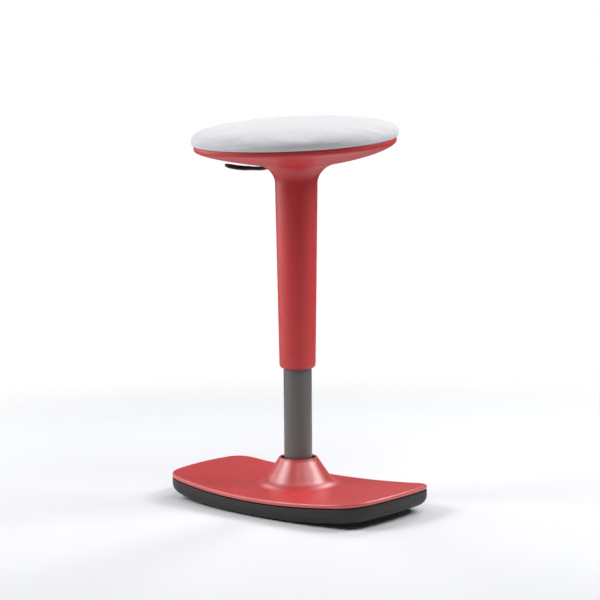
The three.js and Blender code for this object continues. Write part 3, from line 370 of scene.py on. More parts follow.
class Plan:
    """The foot seen from above: four bowed edges, each a quadratic curve, joined by rounded corners.
    Points are spread evenly along it, each with its outward direction."""

    def __init__(self, s, columns=320):
        corners = np.array([[-s.front_half, -s.front], [s.front_half, -s.front],
                            [s.back_half, s.back], [-s.back_half, s.back]])
        bulges = [s.front_bulge, s.end_bulge, s.back_bulge, s.end_bulge]
        line, ends = [], []
        for k in range(4):
            a, b = corners[k], corners[(k + 1) % 4]
            along = b - a
            reach = np.hypot(*along)
            out = np.array([along[1], -along[0]]) / reach
            control = (a + b) / 2 + out * 2 * bulges[k]
            t0 = s.corner / reach
            ends.append((bezier(a, control, b, np.linspace(t0, 1 - t0, 300)), a, control, b, t0))
        for k in range(4):
            edge, a, control, b, t0 = ends[k]
            following, a2, control2, b2, t2 = ends[(k + 1) % 4]
            u = (1 - t0) * (b - control) + t0 * (control - a)
            v = (1 - t2) * (control2 - a2) + t2 * (b2 - control2)
            gap = following[0] - edge[-1]
            along = (gap[0] * v[1] - gap[1] * v[0]) / (u[0] * v[1] - u[1] * v[0])
            line += [edge, bezier(edge[-1], edge[-1] + u * along, following[0], np.linspace(0, 1, 100))]
        line = np.concatenate(line)
        line = np.vstack([line, line[:1]])
        run = np.concatenate([[0], np.cumsum(np.hypot(*np.diff(line, axis=0).T))])
        at = np.arange(columns) * run[-1] / columns
        self.rim = np.stack([np.interp(at, run, line[:, k]) for k in (0, 1)], -1)
        step = np.roll(self.rim, -1, 0) - np.roll(self.rim, 1, 0)
        self.out = np.stack([step[:, 1], -step[:, 0]], -1) / np.hypot(*step.T)[:, None]
        self.aim = self.rim / np.hypot(*self.rim.T)[:, None]
        self.s = s

    def dish(self, x):
        """Rise of the bent cover: R - sqrt(R^2 - x^2)."""
        return self.s.dish_radius - np.sqrt(self.s.dish_radius ** 2 - x ** 2)

    def rocker(self, x):
        """Rise of the underside: none on the flat strip, and a circle's rise beyond it."""
        run = np.maximum(np.abs(x) - self.s.sole_flat, 0)
        return self.s.rocker_radius - np.sqrt(self.s.rocker_radius ** 2 - run ** 2)

    def edge(self, inset, height, rise=None):
        """Rows at a distance inside the rim: one for each inset and height."""
        inset, height = np.atleast_1d(inset)[:, None, None], np.atleast_1d(height)[:, None]
        flat = self.rim - self.out * inset
        return self.lifted(flat, height, rise or self.dish)

    def ring(self, radius, height, sinking):
        """Round rows about the column, with a point towards each point of the rim."""
        radius, height = np.atleast_1d(radius)[:, None, None], np.atleast_1d(height)[:, None]
        sinking = np.atleast_1d(sinking)[:, None]
        return self.lifted(self.aim * radius, height, lambda x: self.dish(x) * sinking)

    def between(self, radius, inset, height, count):
        """Rows that turn a circle into the rim's outline, evenly, both ends left out."""
        t = np.linspace(0, 1, count + 2)[1:-1, None, None]
        flat = self.aim * radius * (1 - t) + (self.rim - self.out * inset) * t
        return self.lifted(flat, height, self.dish)

    @staticmethod
    def lifted(flat, height, rise):
        """Points of the plan at a height, raised by the rise at their place along X."""
        return np.concatenate([flat, (height + rise(flat[..., 0]))[..., None]], -1)


def foot_levels(s):
    """Heights at the middle: the rim's lower edge, the cover's top and underside, and the recess."""
    rim_low = s.sole_height + s.shadow_gap
    top = rim_low + s.cover_rim
    under = top - s.cover_wall
    recess = under - 2 * s.plate_play - s.plate_thick
    return rim_low, top, under, recess


def make_cover(s):
    """Cover: a straight cone, a circular fillet, the bent dish and a rounded rim, then its inner skin
    back to the mouth. The fillet sinks into the dish by a smooth share."""
    plan = Plan(s)
    rim_low, top, under, _ = foot_levels(s)
    lean = s.cone_angle
    foot = s.collar_outer + (s.collar_top - top) * math.tan(lean) \
        + s.cone_fillet * math.tan((math.pi / 2 - lean) / 2)

    def fillet(radius, count):
        """Radii and heights of a quarter turn, less the lean, and the share of the way along it."""
        t = np.linspace(0, 1, count)
        turn = lean + (math.pi / 2 - lean) * t
        return foot - radius * np.cos(turn), top + s.cone_fillet - radius * np.sin(turn), t

    r, z, t = fillet(s.cone_fillet, 22)
    c, n = arc(90, 0, 6)
    lip_r = s.collar_outer + s.collar_round * (c - 1 + math.sin(lean))
    lip_z = s.collar_top - s.collar_round * (1 - n)
    straight = np.linspace(0, 1, 8)[1:-1]
    inner_r, inner_z, inner_t = fillet(s.cone_fillet + s.cover_wall, 12)
    inner_low = inner_z[0] + (inner_r[0] - s.collar_inner) / math.tan(lean)
    mouth_c, mouth_n = arc(0, 90, 5)
    edge_c, edge_n = arc(90, 0, 9)
    low_c, low_n = arc(0, 90, 4)
    rows = np.concatenate([
        plan.ring([s.collar_inner, s.collar_inner], [inner_low, s.collar_top - s.collar_round], 0),
        plan.ring(s.collar_inner + s.collar_round * (1 - mouth_c),
                  s.collar_top - s.collar_round * (1 - mouth_n), 0),
        plan.ring(lip_r, lip_z, 0),
        plan.ring(lip_r[-1] + (r[0] - lip_r[-1]) * straight, lip_z[-1] + (z[0] - lip_z[-1]) * straight, 0),
        plan.ring(r, z, t),
        plan.between(foot, s.rim_round, top, 26),
        plan.edge(s.rim_round * (1 - edge_c), top - s.rim_round * (1 - edge_n)),
        plan.edge(s.rim_round / 2 * (1 - low_c), rim_low + s.rim_round / 2 * (1 - low_n)),
        plan.edge([s.cover_skirt, s.cover_skirt], [rim_low, under]),
        plan.between(foot, s.cover_skirt, under, 8)[::-1],
        plan.ring(inner_r[::-1], inner_z[::-1], inner_t[::-1]),
    ])
    return skin("cover_shell", rows, closed=True)


def make_sole(s):
    """Sole: the flat strip and rocker curve below with grip grooves that follow the rim, a rounded
    lower edge, an upright side with a chamfer, and the recess for the plate on top."""
    plan = Plan(s)
    _, _, _, recess = foot_levels(s)
    reach = np.linspace(0.02, 1, 150)[:-1]
    flat = (plan.rim - plan.out * s.sole_edge) * reach[:, None, None]
    inside = (1 - reach) * s.front
    wave = np.clip((np.cos(2 * np.pi * inside / s.groove_pitch) - 0.35) / 0.4, 0, 1)
    wave *= (inside > s.groove_pitch * 0.6) & (inside < s.groove_pitch * (s.grooves + 0.5))
    groove = (s.groove_depth * wave)[:, None]
    c, n = arc(90, 0, 12)
    side = np.linspace(0, 1, 5)[1:, None]
    turn = plan.edge(s.sole_edge * (1 - c), s.sole_edge * (1 - n), plan.rocker)
    wall = plan.edge(0, s.sole_height - s.sole_lip)
    rows = np.concatenate([
        plan.lifted(flat, groove, plan.rocker),
        turn,
        turn[-1:] + (wall - turn[-1:]) * side[:, None],
        plan.edge([s.sole_lip * 0.3, s.sole_lip, s.sole_wall],
                  [s.sole_height - s.sole_lip * 0.3, s.sole_height, s.sole_height]),
        plan.edge([s.sole_wall, s.plate_inset], [recess, recess]),
        plan.between(s.recess_middle, s.plate_inset, recess, 10)[::-1],
    ])
    body = skin("sole_rubber", rows, [0, 0, 0], [0, 0, recess])
    wells = [rod("well", radius, -OVERRUN, top, x, y)
             for x in (-s.screw_x, 0, s.screw_x) for y in (-s.screw_front, s.screw_back)
             for radius, top in ((s.well_radius, float(plan.rocker(x)) + s.well_depth),
                                 (s.screw_hole, 2 * s.sole_height))]
    cut_away(body, *wells)
    sharpen(body)
    return body


def make_tube(s):
    """Lift tube: a turned wall with a tapered lower end and a rounded mouth."""
    c, n = arc(0, 90, 6)
    bore = s.tube_radius - s.tube_wall
    radii = [bore, s.tube_radius - s.tube_drop - s.tube_round, s.tube_radius - s.tube_drop,
             s.tube_radius, *(s.tube_radius - s.tube_round * (1 - c)), bore]
    heights = [s.tube_foot, s.tube_foot, s.tube_foot + s.tube_round, s.tube_foot + s.tube_taper,
               *(s.tube_top - s.tube_round * (1 - n)), s.tube_top]
    body = turned("tube_painted", radii, heights)
    sharpen(body)
    return body


# Seat

class Seat:
    """The seat's own frame: its plane slopes about X, and the whole is turned about the column."""

    def __init__(self, s, columns=256):
        c, n = circle(columns)
        r = (np.abs(c) ** s.squareness + np.abs(n) ** s.squareness) ** (-1 / s.squareness)
        self.plan = np.stack([r * c, r * n], -1)
        self.half = np.array([s.half_width, s.half_depth])
        self.shift = np.array([0, -s.forward])
        self.s = s

    def slope(self, points):
        """Seat plane to upright column frame: a turn about X, then a lift."""
        c, n = math.cos(self.s.slope), math.sin(self.s.slope)
        x, y, z = np.moveaxis(points, -1, 0)
        return np.stack([x, y * c - z * n, y * n + z * c + self.s.height], -1)

    def swivel(self, points):
        """The seat's turn about the column."""
        return swung(points, self.s.swivel)

    def edge(self, inset, height):
        """Rows at a distance inside the shell's rim, in the seat's plane."""
        inset, height = np.atleast_1d(inset)[:, None, None], np.atleast_1d(height)[:, None]
        flat = self.plan * (self.half - inset) + self.shift
        return np.concatenate([flat, (height + 0 * flat[..., 0])[..., None]], -1)

    def shares(self, share, height, bulge=0.0):
        """Rows at a share of the way from the column's axis to the rim."""
        share = np.atleast_1d(share)[:, None, None]
        flat = (self.plan * (self.half + bulge) + self.shift) * share
        high = height(share[..., 0], self.plan[:, 1] * share[..., 0])
        return np.concatenate([flat, high[..., None]], -1)

    def dish(self, share, back):
        """Depth below the seam: lip + D (1 - share^p)^q (1 + k back)."""
        s = self.s
        fall = np.maximum(1 - share ** s.inner_power, 0) ** s.outer_power
        return -s.lip - s.depth * fall * (1 + s.back_share * back)

    def dome(self, share, back):
        """Height above the seam: waist + H (1 - share^p)^q (1 + k back)."""
        s = self.s
        rise = np.maximum(1 - share ** s.crown_inner, 0) ** s.crown_outer
        return s.waist + s.crown * rise * (1 + s.crown_back * back)


def facing(rows):
    """The surface's own direction at each grid point: the cross product of the steps along the grid's
    two ways."""
    along = np.gradient(rows, axis=0)
    across = np.roll(rows, -1, 1) - np.roll(rows, 1, 1)
    out = np.cross(across, along)
    return out / np.linalg.norm(out, axis=-1, keepdims=True)


def make_shell(s, lever, column):
    """Shell: an upright band, a dish whose depth follows a power curve, a fillet of cubic curves and
    a tapered sleeve, then the inner skin at one wall's distance, and a ledge for the board."""
    seat = Seat(s)
    start = s.fillet_start / s.half_width
    steep = np.linspace(0, (1 - start ** s.inner_power) ** s.outer_power, 46)[1:]
    dish_shares = (1 - steep ** (1 / s.outer_power)) ** (1 / s.inner_power)
    dish = seat.slope(seat.shares(dish_shares, seat.dish))
    a_little_in = 0.94
    near = seat.slope(seat.shares([start, start * a_little_in], seat.dish))
    inward = near[1] - near[0]
    aim = np.concatenate([seat.plan, 0 * seat.plan[:, :1]], -1)
    aim /= np.linalg.norm(aim, axis=-1, keepdims=True)
    reach = ((near[0] * aim).sum(-1) - s.sleeve_top) / -(inward * aim).sum(-1)
    meet = near[0] + inward * reach[:, None]
    meet[:, :2] = aim[:, :2] * s.sleeve_top
    end = meet - [0, 0, s.fillet_run]
    pull = 0.56
    first = near[0] + (meet - near[0]) * pull
    second = end + (meet - end) * pull
    t = np.linspace(0, 1, 26)[1:, None, None]
    fillet = (near[0] * (1 - t) ** 3 + first * 3 * t * (1 - t) ** 2
              + second * 3 * t ** 2 * (1 - t) + end * t ** 3)
    foot = s.height - s.sleeve_length
    high = fillet[-1, :, 2].min() - s.sleeve_round
    low = foot + s.sleeve_round
    base = s.height - s.lip - s.depth - s.fillet_run

    def round_rows(radius, height):
        """Level circles about the column."""
        radius, height = np.atleast_1d(radius)[:, None, None], np.atleast_1d(height)[:, None]
        flat = aim[:, :2] * radius
        return np.concatenate([flat, (height + 0 * flat[..., 0])[..., None]], -1)

    heights = np.linspace(high, low, 14)
    sleeve = round_rows(s.sleeve_foot_radius + (s.sleeve_top - s.sleeve_foot_radius)
                        * (heights - foot) / (base - foot), heights)
    outer = np.concatenate([dish, fillet, sleeve])
    inner = (outer + facing(outer) * s.wall)[4::2][::-1]
    bore = column.tube_radius + column.slide_gap
    c, n = arc(0, 90, 9)
    rim_c, rim_n = arc(90, 0, 6)
    band = seat.slope(seat.edge(s.rim_round * (1 - rim_c), -s.rim_round * (1 - rim_n)))
    rows = np.concatenate([
        band, seat.slope(seat.edge(0, -s.lip * 0.5)), seat.slope(seat.edge(0, -s.lip)), outer,
        round_rows(bore + (s.sleeve_foot_radius - bore) * c[1:], low - s.sleeve_round * n[1:]),
        round_rows(bore, foot + s.sleeve_round / 2),
        inner,
        seat.slope(seat.edge([s.wall + s.ledge_width, s.wall, s.wall, s.wall + s.rim_chamfer],
                             [-s.ledge_depth, -s.ledge_depth, -s.rim_chamfer, 0])),
    ])
    body = skin("shell_moulded", seat.swivel(rows), closed=True)
    low = lever.pivot_z - lever.arm_height - lever.sag
    high = low + lever.slot_height
    arm = block("slot", -lever.slot_outer, -lever.slot_inner, lever.arm_half + lever.slot_play, low, high,
                lever.slot_corner, s.swivel)
    pocket = block("pocket", -lever.pocket, -lever.start, lever.half_width + lever.pocket_play, low, high,
                   lever.pocket_corner, s.swivel)
    cut_away(body, arm, pocket)
    sharpen(body, 50)
    return body


def block(name, x0, x1, half, low, high, corner, turn):
    """An upright block with rounded corners, turned about the column: four arcs carried upwards."""
    c, n = arc(0, 90, 7)
    corners = [(x1 - corner, half - corner, c, n), (x0 + corner, half - corner, -n, c),
               (x0 + corner, corner - half, -c, -n), (x1 - corner, corner - half, n, -c)]
    flat = np.concatenate([np.stack([x + corner * u, y + corner * v], -1) for x, y, u, v in corners])
    rows = swung(np.stack([np.column_stack([flat, np.full(len(flat), z)]) for z in (low, high)]), turn)
    return skin(name, rows, *rows.mean(1))


def cushion_rows(seat, s):
    """Rows of the cushion's outside in the seat's plane: its tucked edge, a side that swells along an
    ellipse to the widest line, and the dome at even steps of its rise, short of its very top."""
    steep = np.concatenate([np.linspace(0, 0.9, 40)[1:], np.linspace(0.9, 0.995, 12)[1:]])
    shares = (1 - steep ** (1 / s.crown_outer)) ** (1 / s.crown_inner)
    c, n = arc(-75, 0, 7)
    return np.concatenate([
        seat.edge([s.under_inset, s.tuck_inset, s.seam_inset], [s.under, s.seam, s.seam]),
        seat.edge(-s.bulge * c, s.waist + (s.waist - s.seam) * n),
        seat.shares(shares, seat.dome, s.bulge),
    ])


def make_cushion(s):
    """Cushion: the dome over its waist, the unevenness of a simulated cover, and drag folds that lie
    along the seam where the cover is pulled under the pad."""
    seat = Seat(s, 240)
    rows = cushion_rows(seat, s)
    middle, top = [0, -s.forward, s.under], [0, 0, s.waist + s.crown]
    lift = folds(rows, seat, s)
    lift += cloth_play(rows, skin("pad_proxy", rows, middle, top), s)
    rows = rows + facing(rows) * (lift * freedom(rows, s))[..., None]
    body = skin("cushion_cover", seat.swivel(seat.slope(rows)),
                *(seat.swivel(seat.slope(np.array(point))) for point in (middle, top)))
    finer = body.modifiers.new("finer", "SUBSURF")
    finer.levels = finer.render_levels = 1
    settle(body)
    body.data.shade_smooth()
    return body


def freedom(rows, s):
    """How free the cover is: 0 at the seam's edge, rising smoothly to 1 above the widest line."""
    free = np.clip((rows[..., 2] - s.seam) / (s.waist - s.seam), 0, 1)
    return free * free * (3 - 2 * free)


def folds(rows, seat, s):
    """Each fold is a ridge along the seam: a bell curve across it, a wider bell along it, and a slight
    slant. A slow wave swells and slackens the side between them."""
    random = np.random.default_rng(11)
    turn = np.arctan2(seat.plan[:, 1], seat.plan[:, 0])
    step = np.linalg.norm(np.diff(rows[3:], axis=0), axis=-1)
    run = np.concatenate([np.zeros((4, rows.shape[1])), np.cumsum(step, 0)])
    at = random.uniform(-np.pi, np.pi, s.folds)
    up = random.uniform(3, 15, s.folds) * MM
    long, wide = random.uniform(12, 34, s.folds) * MM, random.uniform(1.6, 3.4, s.folds) * MM
    high = random.uniform(0.25, 0.75, s.folds) * s.fold_height * random.choice([-1, 1], s.folds)
    slant = random.uniform(-0.22, 0.22, s.folds)
    away = (turn[:, None] - at + np.pi) % (2 * np.pi) - np.pi
    away = away * (s.half_width + s.half_depth) / 2
    ridge = np.exp(-((run[..., None] - up - slant * away) / wide) ** 2 - (away / long) ** 2) @ high
    band = np.exp(-(run / (38 * MM)) ** 2)
    slow = sum(np.sin(k * turn + phase) * size
               for k, phase, size in ((5, 0.7, 0.3), (8, 2.1, 0.22), (13, 4.0, 0.16), (21, 1.3, 0.08)))
    return ridge + slow * s.fold_height * band


def cloth_play(rows, proxy, s):
    """How simulated cloth departs from the plain form. A remeshed copy with spare cloth near its seam
    is blown up and pinned below. Each grid point takes the bell-weighted mean of its neighbours'
    outward motion, less the slow waves round the pad, so that the outline stays where it was."""
    scene = bpy.context.scene
    voxels = proxy.modifiers.new("voxels", "REMESH")
    voxels.mode, voxels.voxel_size = "VOXEL", s.voxel
    settle(proxy)
    rest = coordinates(proxy.data)
    share_out = np.hypot(rest[:, 0] / s.half_width, (rest[:, 1] + s.forward) / s.half_depth)
    groups = {"pinned": rest[:, 2] < s.seam + s.pinned, "spare": share_out > s.spare_start}
    for name, mask in groups.items():
        proxy.vertex_groups.new(name=name).add(np.nonzero(mask)[0].tolist(), 1.0, "REPLACE")
    cloth = proxy.modifiers.new("cloth", "CLOTH")
    made = cloth.settings
    made.quality, made.mass, made.air_damping = 6, 0.25, 2
    made.tension_stiffness = made.compression_stiffness = 20
    made.shear_stiffness, made.bending_stiffness = 8, 0.4
    made.vertex_group_mass, made.vertex_group_shrink = "pinned", "spare"
    made.shrink_min, made.shrink_max = 0.0, -s.spare_cloth
    made.use_pressure, made.uniform_pressure_force = True, 4
    made.effector_weights.gravity = 0
    frames = 20
    for number in range(1, frames + 1):
        scene.frame_set(number)
    graph = bpy.context.evaluated_depsgraph_get()
    moved = coordinates(proxy.evaluated_get(graph).data) - rest
    scene.frame_set(1)
    bpy.data.objects.remove(proxy)
    reach = np.linalg.norm(moved, axis=1, keepdims=True)
    moved *= np.minimum(1, s.cap / np.maximum(reach, 1e-9))
    free = ~groups["pinned"]
    out = (blurred(rows, rest[free], moved[free], s.cloth_blur) * facing(rows)).sum(-1)
    waves = np.fft.rfft(out, axis=1)
    slow_waves = 4
    waves[:, :slow_waves] = 0
    return np.fft.irfft(waves, rows.shape[1], axis=1) * s.cloth_share


def coordinates(mesh):
    """A mesh's points as an array."""
    points = np.empty(len(mesh.vertices) * 3, np.float32)
    mesh.vertices.foreach_get("co", points)
    return points.reshape(-1, 3).astype(float)


def blurred(rows, points, values, width):
    """At each grid point the mean of scattered values, weighted by a bell curve of the distance."""
    flat = rows.reshape(-1, 3)
    made = np.empty_like(flat)
    batch = 1000
    for start in range(0, len(flat), batch):
        near = flat[start:start + batch]
        gap = (near ** 2).sum(1)[:, None] + (points ** 2).sum(1) - 2 * near @ points.T
        weight = np.exp(-np.maximum(gap, 0) / width ** 2) + 1e-30
        made[start:start + batch] = weight @ values / weight.sum(1, keepdims=True)
    return made.reshape(rows.shape)


# Lever

def make_lever(s, swivel):
    """Lever: a rounded cross section carried from the nose over the button to the paddle's tip. Half
    width, thickness and height along the way follow the arm, then widen and lift by powers. The paddle
    leans to the front, and is deepest below where it leaves the dish."""
    widen_share, lean_share, tip_share, thin_share = 0.4, 0.35, 0.28, 0.07
    side_power, face_power = 0.42, 0.62
    least = 0.4 * MM
    x = -np.concatenate([np.linspace(least - s.nose_radius, s.pivot_x, 12),
                         np.linspace(s.slot_inner, s.start, 12)[:-1],
                         np.linspace(s.start, s.end - least / 2, 56)])
    along = np.clip((-x - s.start) / (s.end - s.start), 0, 1)
    root = s.arm_half / s.half_width
    wide = root + (1 - root) * np.sin(np.minimum(along / widen_share, 1) * np.pi / 2)
    tip = np.sqrt(np.clip(1 - (np.maximum(along - 1 + tip_share, 0) / tip_share) ** 2, 0, 1))
    half = np.maximum(s.half_width * wide * tip, least)
    down = np.clip((-x - s.slot_inner) / (s.start - s.slot_inner), 0, 1)
    down = down * down * (3 - 2 * down)
    middle = s.pivot_z - s.sag * down + s.tip_rise * along ** 3
    nose = np.sqrt(np.clip(1 - (np.maximum(x, -least) / s.nose_radius) ** 2, 0.02, 1))
    thick = (s.arm_height / 2 + (s.thick / 2 - s.arm_height / 2) * down) * nose
    thick *= 1 - 0.35 * np.clip((along - 1 + thin_share) / thin_share, 0, 1) ** 2
    half = np.where(x > 0, half * (0.6 + 0.4 * nose), half)
    lean = half * math.tan(s.lean) * np.clip(along / lean_share, 0, 1) ** 2
    deeper = s.belly * down * (1 - along)
    c, n = circle(64)
    y = np.sign(c) * np.abs(c) ** side_power
    z = np.sign(n) * np.abs(n) ** face_power
    half, middle, thick, lean, deeper = (value[:, None] for value in (half, middle, thick, lean, deeper))
    lift = middle + thick * z + lean * y + deeper * np.minimum(z, 0)
    rows = swung(np.stack([x[:, None] + 0 * y, half * y, lift], -1), swivel)
    body = skin("lever_moulded", rows, rows[0].mean(0), rows[-1].mean(0))
    c, n = circle(24)
    ring = np.stack([s.pin_radius * c - s.pivot_x, 0 * c, s.pivot_z + s.pin_radius * n], -1)
    side = s.arm_half + OVERRUN
    hole = swung(np.stack([ring + [0, y, 0] for y in (-side, side)]), swivel)
    cut_away(body, skin("pin_hole", hole, *hole.mean(1)))
    sharpen(body, 45)
    return body


# Materials

class Value:
    """A node's output. Sums and products of values add Math nodes; colours and vectors go through
    their own nodes."""

    def __init__(self, nodes, socket):
        self.nodes, self.socket = nodes, socket

    def math(self, operation, *others, clamp=False):
        """A Math node on this value and others."""
        return self.nodes.math(operation, self, *others, clamp=clamp)

    def __add__(self, other):
        return self.math("ADD", other)

    __radd__ = __add__

    def __mul__(self, other):
        return self.math("MULTIPLY", other)

    __rmul__ = __mul__

    def __sub__(self, other):
        return self.math("SUBTRACT", other)

    def __rsub__(self, other):
        return self.nodes.math("SUBTRACT", other, self)

    def __truediv__(self, other):
        return self.math("DIVIDE", other)

    def clamped(self):
        """The value held between 0 and 1."""
        return self.math("ADD", 0.0, clamp=True)

    def smooth(self):
        """From 0 to 1 by 3 v^2 - 2 v^3."""
        return self * self * (3 - 2 * self)


class Nodes:
    """A node tree and the nodes that are added to it."""

    def __init__(self, tree):
        self.tree = tree

    def node(self, kind, settings, out=0, **sockets):
        """Adds a node: its settings first, then the values or links of its sockets."""
        made = self.tree.nodes.new(kind)
        for key, value in settings.items():
            setattr(made, key, value)
        for key, value in sockets.items():
            into = made.inputs[int(key)] if key.isdigit() else made.inputs[key.replace("_", " ")]
            self.link(into, value)
        return Value(self, made.outputs[out])

    def link(self, into, value):
        """Links a value to a socket, or sets the socket to a number."""
        if isinstance(value, Value):
            self.tree.links.new(value.socket, into)
        else:
            into.default_value = value

    def math(self, operation, *values, clamp=False):
        """A Math node on values or numbers."""
        sockets = {str(number): value for number, value in enumerate(values)}
        return self.node("ShaderNodeMath", {"operation": operation, "use_clamp": clamp}, **sockets)

    def place(self, scale=(1, 1, 1), turn=(0, 0, 0)):
        """The object's own coordinates, turned and stretched."""
        where = self.node("ShaderNodeTexCoord", {}, out="Object")
        return self.node("ShaderNodeMapping", {}, Vector=where, Scale=scale, Rotation=turn)

    def noise(self, scale, detail=2.0, rough=0.5, at=None, distort=0.0):
        """Clouds from 0 to 1, at the object's own coordinates unless others are given."""
        return self.node("ShaderNodeTexNoise", {}, Vector=at or self.place(), Scale=scale, Detail=detail,
                         Roughness=rough, Distortion=distort)

    def bands(self, way, at, scale, distort, detail, detail_scale):
        """Wavy bands from 0 to 1, across one axis."""
        return self.node("ShaderNodeTexWave", {"bands_direction": way}, out="Fac", Vector=at, Scale=scale,
                         Distortion=distort, Detail=detail, Detail_Scale=detail_scale)


class Finish(Nodes):
    """A node material round one Principled shader. Numbers that are the same all over are set on the
    shader's own sockets."""

    def __init__(self, name, **settings):
        self.material = bpy.data.materials.new(name)
        self.material.use_nodes = True
        super().__init__(self.material.node_tree)
        self.shader = self.tree.nodes["Principled BSDF"]
        for socket, value in settings.items():
            self.feed(socket.replace("_", " "), value)

    def feed(self, socket, value):
        """Sets or links one of the shader's sockets."""
        self.link(self.shader.inputs[socket], value)

    def tint(self, mask, tone, low, high):
        """A colour between a darker and a lighter tone, by a mask from 0 to 1."""
        sockets = {"0": mask, "6": (*shade(tone, low), 1), "7": (*shade(tone, high), 1)}
        self.feed("Base Color", self.node("ShaderNodeMix", {"data_type": "RGBA"}, out=2, **sockets))

    def bump(self, height, strength, distance):
        """Relief from a height between 0 and 1 that stands for a distance in metres."""
        made = self.node("ShaderNodeBump", {}, Height=height, Strength=strength, Distance=distance)
        self.feed("Normal", made)

    def fade(self, mask):
        """Lets the surface thin out to nothing where the mask rises to 1."""
        solid, clear = Value(self, self.shader.outputs[0]), self.node("ShaderNodeBsdfTransparent", {})
        made = self.node("ShaderNodeMixShader", {}, **{"0": mask, "1": solid, "2": clear})
        self.link(self.tree.nodes["Material Output"].inputs["Surface"], made)


def shade(tone, factor):
    """A tone made darker or lighter, within 0 to 1."""
    return tuple(min(max(c * factor, 0), 1) for c in tone)


def moulded_plastic(name, tone, rough, grain, **more):
    """Injection-moulded plastic: a fine spark-eroded grain, faint flow clouds and rubbed patches."""
    made = Finish(name, **more)
    cloud, smear = made.noise(6, 3), made.noise(22, 4, 0.6, distort=0.6)
    made.tint(cloud, tone, 0.95, 1.05)
    made.feed("Roughness", rough + (smear - 0.5) * 0.10 + (cloud - 0.5) * 0.05)
    made.bump(made.noise(2600, 2, 0.6), grain, 0.00012)
    return made.material


def rubber(name, tone):
    """Sole rubber: matt, faintly mottled, with a dusty bloom and a fine mould grain."""
    made = Finish(name, Specular_IOR_Level=0.38)
    cloud, speck = made.noise(14, 5, 0.6), made.noise(900, 2)
    made.tint((cloud * 0.7 + speck * 0.3).clamped(), tone, 0.8, 1.3)
    made.feed("Roughness", 0.52 + (cloud - 0.5) * 0.16)
    made.bump(made.noise(1500, 3, 0.7) + cloud * 0.5, 0.25, 0.0003)
    return made.material


def painted_steel(name, tone):
    """Powder paint on steel: a slight orange peel and a satin sheen."""
    made = Finish(name, Metallic=0.15)
    made.tint(made.noise(9, 3), tone, 0.94, 1.06)
    made.feed("Roughness", 0.36 + (made.noise(60, 3) - 0.5) * 0.08)
    made.bump(made.noise(700, 2, 0.5), 0.18, 0.0003)
    return made.material


def bare_metal(name, tone, rough, brushed=False, cast=False):
    """Metal: drawn along the column when brushed, and coarse when cast."""
    made = Finish(name, Metallic=1.0)
    lines = made.noise(900, 3, 0.6, made.place((1, 1, 0.03) if brushed else (1, 1, 1)))
    made.tint(made.noise(30, 4), tone, 0.88, 1.08)
    made.feed("Roughness", rough + (lines - 0.5) * 0.2)
    made.bump(made.noise(420, 4, 0.7) if cast else lines, 0.5 if cast else 0.12, 0.0004)
    return made.material


def plywood(name, tone):
    """Pressed board: long wavy grain and fine streaks."""
    made = Finish(name, Specular_IOR_Level=0.3)
    grain = made.bands("Y", made.place((0.35, 6, 6)), 9, 3.5, 3, 1.6)
    fine = made.noise(120, 4, 0.6, made.place((0.1, 1, 1)))
    made.tint((grain * 0.6 + fine * 0.4).clamped(), tone, 0.72, 1.12)
    made.feed("Roughness", 0.6 + (fine - 0.5) * 0.2)
    made.bump(grain + fine, 0.2, 0.0003)
    return made.material


def knitted_cloth(name, tone, swivel):
    """Close-knit cover: fine ribs crossed by courses in the seat's own directions, with a soft nap."""
    made = Finish(name, Sheen_Weight=0.25, Sheen_Roughness=0.5, Specular_IOR_Level=0.2)
    at = made.place(turn=(0, 0, -swivel))
    ribs, courses = made.bands("X", at, 330, 1.2, 1, 2), made.bands("Y", at, 300, 1.2, 1, 2)
    cloud, fuzz = made.noise(7, 3), made.noise(1800, 2)
    knit = (ribs * 0.5 + courses * 0.5).clamped()
    made.tint((knit * 0.35 + cloud * 0.35 + fuzz * 0.3).clamped(), tone, 0.93, 1.05)
    made.feed("Roughness", 0.86 + (fuzz - 0.5) * 0.1)
    made.bump(knit + fuzz * 0.6, 0.35, 0.0003)
    return made.material


# Studio

def make_camera(s):
    """Camera: stands at an azimuth and looks back at the column, turned by pitch, yaw and roll."""
    heading = s.azimuth + s.yaw
    look = np.array([-math.sin(heading) * math.cos(s.pitch), math.cos(heading) * math.cos(s.pitch),
                     -math.sin(s.pitch)])
    right = np.cross(look, [0, 0, 1])
    right /= np.linalg.norm(right)
    up = np.cross(right, look)
    across = right * math.cos(s.roll) + up * math.sin(s.roll)
    upward = up * math.cos(s.roll) - right * math.sin(s.roll)
    data = bpy.data.cameras.new("camera")
    data.lens, data.sensor_width, data.clip_end = s.lens, 36, 60
    camera = bpy.data.objects.new("camera", data)
    turn = Matrix(np.stack([across, upward, -look], 1).tolist()).to_4x4()
    spot = (s.distance * math.sin(s.azimuth), -s.distance * math.cos(s.azimuth), s.height)
    camera.matrix_world = Matrix.Translation(spot) @ turn
    bpy.context.scene.collection.objects.link(camera)
    bpy.context.scene.camera = camera


def make_floor(s, tone):
    """Floor: rings about the column, whose paint fades out by 3 v^2 - 2 v^3 towards the backdrop."""
    c, n = circle(96)
    reach = np.linspace(0, 1, 13)[1:, None] * s.floor_reach
    floor = skin("floor", np.stack([reach * c, reach * n, 0 * reach * c], -1), [0, 0, 0])
    paint = Finish("floor_paint", Roughness=0.8, Specular_IOR_Level=0.1)
    paint.tint(paint.noise(3, 3), tone, 0.995, 1.005)
    where = paint.node("ShaderNodeTexCoord", {}, out="Object")
    away = paint.node("ShaderNodeVectorMath", {"operation": "LENGTH"}, out="Value", **{"0": where})
    paint.fade(((away - s.fade_start) / s.fade_width).clamped().smooth())
    floor.data.materials.append(paint.material)


